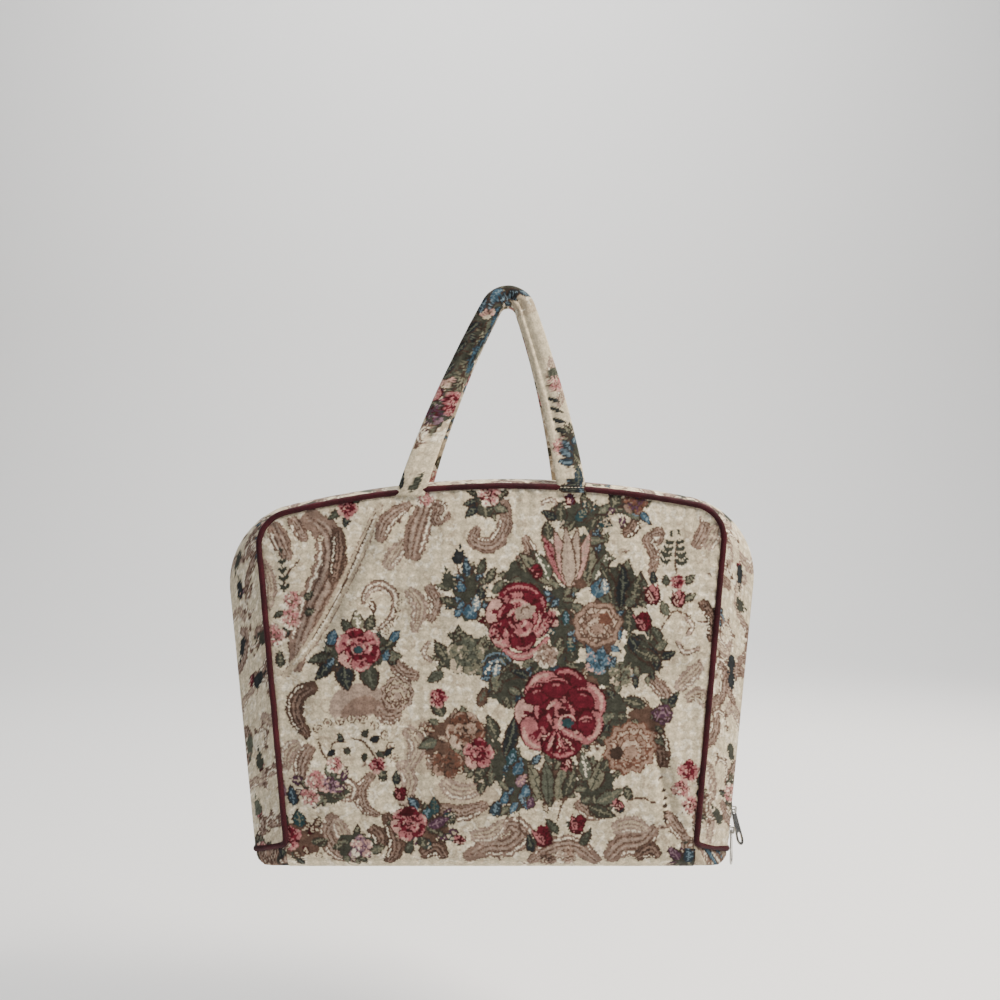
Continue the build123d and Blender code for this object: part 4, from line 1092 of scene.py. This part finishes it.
def dress_piping(name, front, material):
    path = resample(piping_path(front), PIPING_STEP)

    def radius(run, a):
        return PIPING_R * (1 + 0.03 * np.sin(run * 0.55 + 3 * math.sin(a)) + 0.035 * np.sin(run * 0.13 + a))

    verts, faces, flat = tube(path, radius)
    colours = np.tile(np.array(linear("3f0f18")), (len(verts), 1))
    obj = cloth_object(name, verts, faces, flat, colours, material)
    recalculate(obj)
    return obj


def recalculate(obj):
    work = bmesh.new()
    work.from_mesh(obj.data)
    bmesh.ops.remove_doubles(work, verts=work.verts, dist=1e-6)
    bmesh.ops.recalc_face_normals(work, faces=work.faces)
    work.to_mesh(obj.data)
    work.free()


# ---------------------------------------------------------------- handles

BEND_INNER, BEND_OUTER, LEG_R = 6.0, 22.0, 750.0
STRAP_SPREAD, STRAP_WIDE, STRAP_THICK, BEND_THICK, BEND_GAP = 60.0, 22.0, 5.0, 9.5, 1.6
STRAP_DROP = 3.6
STRAP_SIDES = 64
# Above this height the two straps lie against each other
MEET_Z = -44.0


def strap_foot(side):
    """The middle of a strap's foot in X and Z."""
    x = BAG_X + side * STRAP_SPREAD
    return x, SEAM["crest_z"] - SEAM["crest_r"] + math.sqrt(SEAM["crest_r"] ** 2 - x * x) - STRAP_DROP


def strap_edge(side_out, bend_r, count=170):
    """One edge of a strap in X and Z: up the left leg, round the bend and down the right leg."""
    centre = np.array([0.0, -BEND_INNER])
    legs = []
    for side in (-1, 1):
        x, z = strap_foot(side)
        base = np.array([x + side * side_out * STRAP_WIDE / 2, z])
        reach = LEG_R - bend_r
        gap = np.linalg.norm(base - centre)
        along = (gap * gap + reach * reach - LEG_R * LEG_R) / (2 * gap)
        across = math.sqrt(reach * reach - along * along)
        u = (base - centre) / gap
        inward = np.array([-u[1], u[0]]) * (1 if side < 0 else -1)
        leg = centre + u * along + inward * across
        top = centre + (centre - leg) / np.linalg.norm(centre - leg) * bend_r
        legs.append((leg, base, top))
    (leg_l, base_l, top_l), (leg_r, base_r, top_r) = legs

    bend = arc_points(centre, top_l, top_r, 60)
    left, right = arc_points(leg_l, base_l, top_l, count), arc_points(leg_r, top_r, base_r, count)
    return np.concatenate([left, bend[1:], right[1:]])


def dress_handle(name, drawing, front, material):
    """A padded strap: a flattened tube with a lengthwise crease, its ends flat on the panel and bunched at
    the bend."""
    outer, inner = strap_edge(1, BEND_OUTER), strap_edge(-1, BEND_INNER)
    n = len(outer)
    z = (outer[:, 1] + inner[:, 1]) / 2
    low = z.min()
    f = np.clip((z - SEAM["crest_z"] - 5) / (MEET_Z - SEAM["crest_z"] - 5), 0, 1)
    thick = STRAP_THICK + (BEND_THICK - STRAP_THICK) * smooth(f)
    middle_y = SEAM_Y + (-BEND_GAP / 2 - BEND_THICK / 2 - SEAM_Y) * f
    run = run_along((outer + inner) / 2)
    wide = np.linalg.norm(outer - inner, axis=1)
    left = np.clip((run[-1] / 2 - run) / 60 + 0.5, 0, 1)
    verts, flat = [], []
    for k in range(STRAP_SIDES):
        a = math.tau * k / STRAP_SIDES
        c, s = math.cos(a), math.sin(a)
        # Across from -1 at the inner edge to 1 at the outer; out is towards the front
        across = math.copysign(abs(c) ** 0.62, c)
        out = math.copysign(abs(s) ** 0.75, s)
        at = (outer + inner) / 2 + (outer - inner) / 2 * (across * 0.985)
        crease_at = 0.05 * left - 0.35 * (1 - left)
        crease = 1.7 * np.exp(-((across - crease_at) / 0.16) ** 2) * smooth((z - low - 14) / 26)
        swell = 1 + 0.10 * np.sin(run * 0.06 + 0.8) + 0.06 * np.sin(run * 0.17 + across)
        y = middle_y - out * thick / 2 * swell
        if s > 0:
            y = y + crease
            y = y - 0.35 * np.sin(run * 0.5 + 2.5 * across) * smooth((z + 60) / 40)
        verts.append(np.stack([at[:, 0], y, at[:, 1]], 1))
        flat.append(np.stack([run, (across * wide / 2) + (0 if s > 0 else 40)], 1))
    verts = np.stack(verts).reshape(-1, 3)
    flat = np.stack(flat).reshape(-1, 2)
    faces = tube_faces(STRAP_SIDES, n)
    colours = drawing.colours(flat, "sand")
    if not front:
        verts[:, 1] *= -1
    obj = cloth_object(name, verts, faces, flat, colours, material)
    recalculate(obj)
    return obj


def handle_print(front):
    """The strap's print runs along it from the foot of the left leg: run in X, across in Y, outer edge up."""
    c = Cloth(31 if front else 47)
    c.ground((-5, -14), (420, 14), 1.3)
    c.ground((-5, 26), (420, 54), 1.3)
    if front:
        c.add([(-5, -14), (42, -14), (46, 14), (-5, 14)], "cream")
        c.foliage(152, 2, 30, 11, 34, ("navy", "leaf", "sage", "blue"), 9)
        c.foliage(112, 2, 24, 11, 30, ("leaf", "sage", "moss", "ink"), 9)
        c.foliage(70, 0, 16, 10, 20, ("leaf", "plum", "sage"), 8)
        c.leaf(4, 8, 26, 5, 12, "ink", "sage")
        c.leaf(2, 2, 18, 7, -30, "leaf", "sage")
        for x in (14, 22, 30):
            c.arc(x, 1, 4, 20 * x, 200, 1.0, "sand")
        c.scroll(48, 4, 7, 200, -230, 3.5)
        c.rose(64, 3, 8, "wine", "plum", "leaf", "mauve", 10, 5)
        c.rose(78, -5, 7, "wine", "crimson", "pink", "blush", 40, 5)
        c.rose(70, -7, 5, "wine", "crimson", "pink", "blush", 10, 5)
        c.leaf(74, 8, 14, 8, 5, "pink", "blush", rim="wine")
        c.rose(92, 6, 6, "umber", "peach", "blush", "apricot", 0, 5)
        for k in range(9):
            c.leaf(100 + 6 * k, 6 * math.sin(k * 2.2), 15, 5, 150 + 30 * (k % 3 - 1),
                   ("leaf", "ink", "sage")[k % 3], "sage", rim="line")
        for k in range(8):
            c.leaf(112 + 7 * k, -8 + 2 * math.sin(k), 12, 4.5, 165, ("navy", "ink")[k % 2], "blue")
        c.rose(152, 1, 6, "umber", "peach", "blush", "cream", 0, 5)
        for k in range(5):
            c.leaf(160 + 5 * k, 5 - 3 * (k % 2), 13, 6, 170 + 12 * k, ("navy", "ink", "blue")[k % 3], "sky",
                   rim="line")
        # The right leg: a cream ground with a row of dark leaf stripes
        c.add([(196, -14), (230, -14), (232, 14), (196, 14)], "cream")
        c.add([(228, -14), (392, -14), (392, 14), (228, 14)], "cream")
        for k in range(14):
            c.arc(236 + 11 * k, 3 * math.sin(k * 1.9), 5, 50 * k, 210, 1.1, "sand")
        c.feather([(232, 8), (246, 4), (258, 8), (270, 2)], 8, "beige", 5)
        c.foliage(345, 4, 20, 7, 22, ("navy", "leaf", "ink", "sage"), 8)
        c.foliage(302, 6, 12, 6, 12, ("navy", "leaf", "sage"), 7)
        c.rose(252, 4, 7, "umber", "pink", "blush", "cream", 30, 5)
        c.fan(240, 4, 10, 20, 80, 4, "leaf", "sage", 0.35)
        for k in range(6):
            c.leaf(262 + 8 * k, -4, 11, 4.2, 55, "ink", "leaf")
        c.rose(300, -3, 7, "umber", "pink", "blush", "cream", 30, 5)
        for k in range(3):
            c.leaf(306 + 4 * k, 5, 12, 6, 200 + 25 * k, "navy", "sky", rim="line")
        for k in range(6):
            c.leaf(330 + 9 * k, 5 - 3 * (k % 2), 15, 7, 160 + 20 * (k % 3), ("navy", "ink", "leaf")[k % 3],
                   "sage")
        c.scroll(348, -5, 7, 30, 220, 3)
        c.rose(376, -3, 6, "umber", "pink", "blush", "cream", 30, 5)
    else:
        for k in range(9):
            c.bouquet(20 + 44 * k, c.pick.uniform(-5, 5), 11)
    for k in range(10):
        c.bouquet(18 + 40 * k, 40 + c.pick.uniform(-5, 5), 10)
    return c


# ---------------------------------------------------------------- the bottom and small work

def dress_bottom(name, drawing, material):
    """The cloth under the bag and its turned-up pointed ends, taken from the body's own form and softened."""
    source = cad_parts["body_panel"]
    work = bmesh.new()
    work.from_mesh(source.data)
    bmesh.ops.remove_doubles(work, verts=work.verts, dist=1e-6)
    cut = bmesh.ops.bisect_plane(work, geom=work.verts[:] + work.edges[:] + work.faces[:], dist=1e-6,
                                 plane_co=(0, 0, -0.398), plane_no=(0, 0, 1), clear_outer=True)
    edges = [e for e in cut["geom_cut"] if isinstance(e, bmesh.types.BMEdge)]
    bmesh.ops.holes_fill(work, edges=edges, sides=0)
    mesh = bpy.data.meshes.new(name)
    work.to_mesh(mesh)
    work.free()
    obj = bpy.data.objects.new(name, mesh)
    bpy.context.collection.objects.link(obj)
    bpy.context.view_layer.objects.active = obj
    remesh = obj.modifiers.new("even", "REMESH")
    remesh.mode = "VOXEL"
    remesh.voxel_size = 1.3 * MM
    relax = obj.modifiers.new("soften", "SMOOTH")
    relax.factor = 0.5
    relax.iterations = 3
    with bpy.context.temp_override(object=obj, active_object=obj, selected_objects=[obj]):
        bpy.ops.object.modifier_apply(modifier="even")
        bpy.ops.object.modifier_apply(modifier="soften")
    mesh = obj.data
    co = np.zeros(len(mesh.vertices) * 3)
    mesh.vertices.foreach_get("co", co)
    co = co.reshape(-1, 3) / MM
    flat = np.stack([co[:, 0] + co[:, 2] * 0.4, co[:, 1] + 60 + co[:, 2] * 0.6], 1)
    lay_print(mesh, drawing.colours(flat), flat, material)
    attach(obj, "bag")
    return obj


def stitch_row(name, path, spacing, long, thick, material, face):
    """Thread stitches along a path in millimetres, on a cloth that looks along face: flat capsules, pressed
    in at their ends."""
    run = run_along(path)
    verts, faces = [], []
    for k in range(int(run[-1] / spacing)):
        s = (k + 0.5) * spacing
        pts = [np.array([np.interp(s + d, run, path[:, j]) for j in range(3)])
               for d in np.linspace(-long / 2, long / 2, 5)]
        way = pts[-1] - pts[0]
        way /= np.linalg.norm(way)
        out = face - way * (face @ way)
        out /= np.linalg.norm(out)
        side = np.cross(way, out)
        base = len(verts)
        for i, p in enumerate(pts):
            h = (0.15, 0.85, 1.0, 0.85, 0.15)[i]
            for a in range(6):
                q = math.tau * a / 6
                verts.append(p + side * math.cos(q) * thick / 2 * (0.4 + 0.6 * h) + out
                             * (math.sin(q) * thick / 2 + thick * 0.45 * h))
        for i in range(4):
            for a in range(6):
                b = (a + 1) % 6
                faces.append([base + i * 6 + a, base + i * 6 + b, base + (i + 1) * 6 + b,
                              base + (i + 1) * 6 + a])
        faces.append([base + a for a in reversed(range(6))])
        faces.append([base + 24 + a for a in range(6)])
    mesh = bpy.data.meshes.new(name)
    mesh.from_pydata((np.array(verts) * MM).tolist(), [], faces)
    obj = bpy.data.objects.new(name, mesh)
    bpy.context.collection.objects.link(obj)
    mesh.materials.append(material)
    mesh.polygons.foreach_set("use_smooth", [True] * len(mesh.polygons))
    recalculate(obj)
    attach(obj, "bag")
    return obj


# ---------------------------------------------------------------- materials

def new_material(name):
    material = bpy.data.materials.new(name)
    material.use_nodes = True
    tree = material.node_tree
    tree.nodes.clear()
    out = add_node(tree, "ShaderNodeOutputMaterial")
    shader = add_node(tree, "ShaderNodeBsdfPrincipled")
    tree.links.new(shader.outputs["BSDF"], out.inputs["Surface"])
    return material, tree, shader


def noise(tree, place, size_mm, detail, roughness=0.5):
    """A noise of a size in millimetres at a place."""
    inputs = {"Vector": place, "Scale": 1 / (size_mm * MM), "Detail": detail, "Roughness": roughness}
    return add_node(tree, "ShaderNodeTexNoise", inputs).outputs["Fac"]


def waves(tree, place, size_mm, distortion, direction):
    """Bands of waves, one every 2 pi times the size in millimetres."""
    inputs = {"Vector": place, "Scale": 1 / (20 * size_mm * MM), "Distortion": distortion, "Detail": 1.0,
              "Detail Scale": 3.0}
    return add_node(tree, "ShaderNodeTexWave", inputs, wave_type="BANDS",
                    bands_direction=direction).outputs["Fac"]


def combined(tree, operation, first, second):
    return add_node(tree, "ShaderNodeMath", {0: first, 1: second}, operation=operation).outputs["Value"]


def spread(tree, value, low, high, source=(0.0, 1.0)):
    """A value's range made a new range, from low to high."""
    inputs = {"Value": value, "From Min": source[0], "From Max": source[1], "To Min": low, "To Max": high}
    return add_node(tree, "ShaderNodeMapRange", inputs).outputs["Result"]


def two_tone(tree, shader, value, dark, light):
    """The base colour between two stops, each a place and a hex colour."""
    ramp = add_node(tree, "ShaderNodeValToRGB", {"Fac": value})
    for k, (place, tint) in enumerate((dark, light)):
        ramp.color_ramp.elements[k].position = place
        ramp.color_ramp.elements[k].color = linear(tint)
    tree.links.new(ramp.outputs["Color"], shader.inputs["Base Color"])


def raise_surface(tree, shader, height, strength, distance_mm):
    bump = add_node(tree, "ShaderNodeBump",
                    {"Height": height, "Strength": strength, "Distance": distance_mm * MM})
    tree.links.new(bump.outputs["Normal"], shader.inputs["Normal"])


def tapestry():
    """Woven cotton tapestry: matt, with a thread grain that breaks up each field of the print and painted
    shade in the hollows of its weave.
    """
    material, tree, shader = new_material("woven_tapestry")
    shader.inputs["Roughness"].default_value = 0.88
    shader.inputs["Specular IOR Level"].default_value = 0.12
    shader.inputs["Sheen Weight"].default_value = 0.04
    shader.inputs["Sheen Roughness"].default_value = 0.5
    inked = add_node(tree, "ShaderNodeAttribute", attribute_name="print").outputs["Color"]
    flat = add_node(tree, "ShaderNodeUVMap", uv_map="flat").outputs["UV"]
    # Broad waves for the weave, 6.9 mm apart up the cloth and 8.2 mm across it, with finer specks between
    # them
    weave = combined(tree, "MULTIPLY", waves(tree, flat, 1.1, 1.2, "Y"), waves(tree, flat, 1.3, 1.6, "X"))
    speck = noise(tree, flat, 1.7, 2.0, 0.65)
    grain = spread(tree, speck, 0.72, 1.28, (0.3, 0.7))
    tone = spread(tree, noise(tree, flat, 28, 3.0), 0.9, 1.08, (0.3, 0.7))
    # The weave's low bands darken the colour, painted shade in the hollows between its ribs; the specks and
    # the broad tone vary it at random
    shade = combined(tree, "MULTIPLY", combined(tree, "MULTIPLY", grain, tone),
                     spread(tree, weave, 0.8, 1.12))
    colour = add_node(tree, "ShaderNodeVectorMath", {0: inked, "Scale": shade}, operation="SCALE")
    tree.links.new(colour.outputs["Vector"], shader.inputs["Base Color"])
    raise_surface(tree, shader, combined(tree, "ADD", weave, speck), 0.5, 0.35)
    return material


def bias_tape():
    """Dark burgundy cotton bias tape over cord: fine, matt, with slightly paler worn patches here and there.
    """
    material, tree, shader = new_material("cotton_bias_tape")
    shader.inputs["Roughness"].default_value = 0.72
    shader.inputs["Sheen Weight"].default_value = 0.05
    shader.inputs["Specular IOR Level"].default_value = 0.16
    flat = add_node(tree, "ShaderNodeUVMap", uv_map="flat").outputs["UV"]
    threads = noise(tree, flat, 1.2, 2.0)
    wear = combined(tree, "MULTIPLY", threads, noise(tree, flat, 22, 2.0))
    two_tone(tree, shader, wear, (0.12, "22080d"), (0.42, "45131c"))
    raise_surface(tree, shader, threads, 0.35, 0.2)
    return material


def simple_finish(name, dark, light, rough, scale_mm, metallic=0.0, bump=0.15, sheen=0.0):
    material, tree, shader = new_material(name)
    shader.inputs["Metallic"].default_value = metallic
    shader.inputs["Sheen Weight"].default_value = sheen
    uneven = noise(tree, add_node(tree, "ShaderNodeTexCoord").outputs["Object"], scale_mm, 4.0)
    two_tone(tree, shader, uneven, (0.3, dark), (0.7, light))
    tree.links.new(spread(tree, uneven, rough * 0.8, rough * 1.25), shader.inputs["Roughness"])
    raise_surface(tree, shader, uneven, bump, 0.1)
    return material


def finish_nodes(names, material):
    for name in names:
        obj = bpy.data.objects[name]
        if obj.material_slots:
            for each in obj.material_slots:
                each.link = "OBJECT"
                each.material = material


cloth = tapestry()
piping_tape = bias_tape()
zip_tape = simple_finish("woven_polyester_zip_tape", "594a3c", "75644f", 0.8, 1.6, bump=0.4, sheen=0.2)
zip_teeth = simple_finish("moulded_zip_teeth", "4e4235", "6a5a48", 0.35, 3.0)
nickel = simple_finish("nickel_plated_zinc", "8f8c86", "b9b6ae", 0.26, 5.0, metallic=1.0, bump=0.05)
thread = simple_finish("spun_polyester_thread", "a2957f", "c8bca6", 0.7, 0.8, bump=0.3)

# ---------------------------------------------------------------- pieces

front_cloth = dress_panel("tapestry_front", front_print(), FRONT_STEP, True, cloth)
back_cloth = dress_panel("tapestry_back", all_over_print(53, (-190, -440), (165, -130)), BACK_STEP, False,
                         cloth)
bottom_cloth = dress_bottom("tapestry_bottom", all_over_print(61, (-400, -320), (60, -120), 40, 14), cloth)
for piece in (front_cloth, back_cloth, bottom_cloth):
    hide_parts("body_panel")
for label, front, seed in (("front", True, 71), ("back", False, 83)):
    piece = dress_gusset("tapestry_gusset_" + label, all_over_print(seed, (-5, -6), (900, 42), 34, 12, 0.22),
                         front, cloth)
    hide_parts("gusset_" + label)
    piece = dress_piping("corded_piping_" + label, front, piping_tape)
    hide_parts("piping_" + label)
    piece = dress_handle("padded_handle_" + label, handle_print(front), front, cloth)
    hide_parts("handle_" + label)
for label, front in (("front", True), ("back", False)):
    for side, hand in ((-1, "left"), (1, "right")):
        x, foot = strap_foot(side)
        across = np.linspace(-STRAP_WIDE / 2 + 1.5, STRAP_WIDE / 2 - 1.5, 9)
        y = (SEAM_Y - STRAP_THICK / 2 - 0.1) * (1 if front else -1)
        path = np.stack([x + across, np.full(9, y), np.full(9, foot + 4.0)], 1)
        face = np.array([0.0, -1.0 if front else 1.0, 0.0])
        stitch_row(f"strap_stitches_{label}_{hand}", path, 2.6, 2.0, 0.5, thread, face)
finish_nodes(("zip_tape_front", "zip_tape_back"), zip_tape)
finish_nodes(("zip_teeth_front", "zip_teeth_back"), zip_teeth)
finish_nodes(("slider_upper", "slider_lower", "pull_upper", "pull_lower"), nickel)

# ---------------------------------------------------------------- stage, light and camera

floor_z, wall_y, wall_curve = -0.62, 3.2, 1.2
sweep_near, sweep_top, sweep_half = -4.0, 4.5, 5.0
bag_middle = (0, 0, -0.28)
bpy.ops.mesh.primitive_plane_add(size=1, location=(0, 0, 0))
sweep_obj = bpy.context.object
sweep_obj.name = "pale_sweep"
profile = [(sweep_near, floor_z), (wall_y - wall_curve, floor_z)]
profile += [(wall_y - wall_curve + wall_curve * math.sin(a), floor_z + wall_curve - wall_curve * math.cos(a))
            for a in np.linspace(0, math.pi / 2, 24)[1:]]
profile += [(wall_y, sweep_top)]
sweep_mesh = bpy.data.meshes.new("pale_sweep")
sweep_mesh.from_pydata([(x, y, z) for y, z in profile for x in (-sweep_half, sweep_half)], [],
                       [[2 * i, 2 * i + 1, 2 * i + 3, 2 * i + 2] for i in range(len(profile) - 1)])
sweep_mesh.polygons.foreach_set("use_smooth", [True] * len(sweep_mesh.polygons))
sweep_obj.data = sweep_mesh
paint, tree, shader = new_material("matt_pale_paint")
shader.inputs["Base Color"].default_value = linear("e9e8e6")
shader.inputs["Roughness"].default_value = 0.9
sweep_mesh.materials.append(paint)

world = bpy.data.worlds.new("soft_room")
bpy.context.scene.world = world
world.use_nodes = True
world.node_tree.nodes["Background"].inputs["Color"].default_value = linear("dfe3ea")
world.node_tree.nodes["Background"].inputs["Strength"].default_value = 0.3


def area_light(name, place, aim, size, watts, tint):
    light = bpy.data.lights.new(name, "AREA")
    light.size = size
    light.energy = watts
    light.color = linear(tint)[:3]
    lamp = bpy.data.objects.new(name, light)
    bpy.context.collection.objects.link(lamp)
    lamp.location = place
    lamp.rotation_euler = (Vector(aim) - Vector(place)).to_track_quat("-Z", "Y").to_euler()


area_light("window", (0.85, -0.5, 0.85), bag_middle, 0.35, 42, "fff6ea")
area_light("room_fill", (-1.2, -1.2, 0.1), bag_middle, 1.4, 5, "e8eefb")
area_light("wall_wash", (0.0, 0.9, 2.6), (0, wall_y, 0.0), 2.5, 150, "ffffff")
area_light("back_fill", (0.9, 1.3, 0.7), bag_middle, 0.9, 16, "fff6ea")

camera_data = bpy.data.cameras.new("camera")
camera_data.sensor_width = 36.0
camera_data.lens = 37.9
camera = bpy.data.objects.new("camera", camera_data)
bpy.context.collection.objects.link(camera)
camera.location = (-0.006, -0.81, -0.148)
camera.rotation_euler = (math.radians(90), 0, 0)
bpy.context.scene.camera = camera
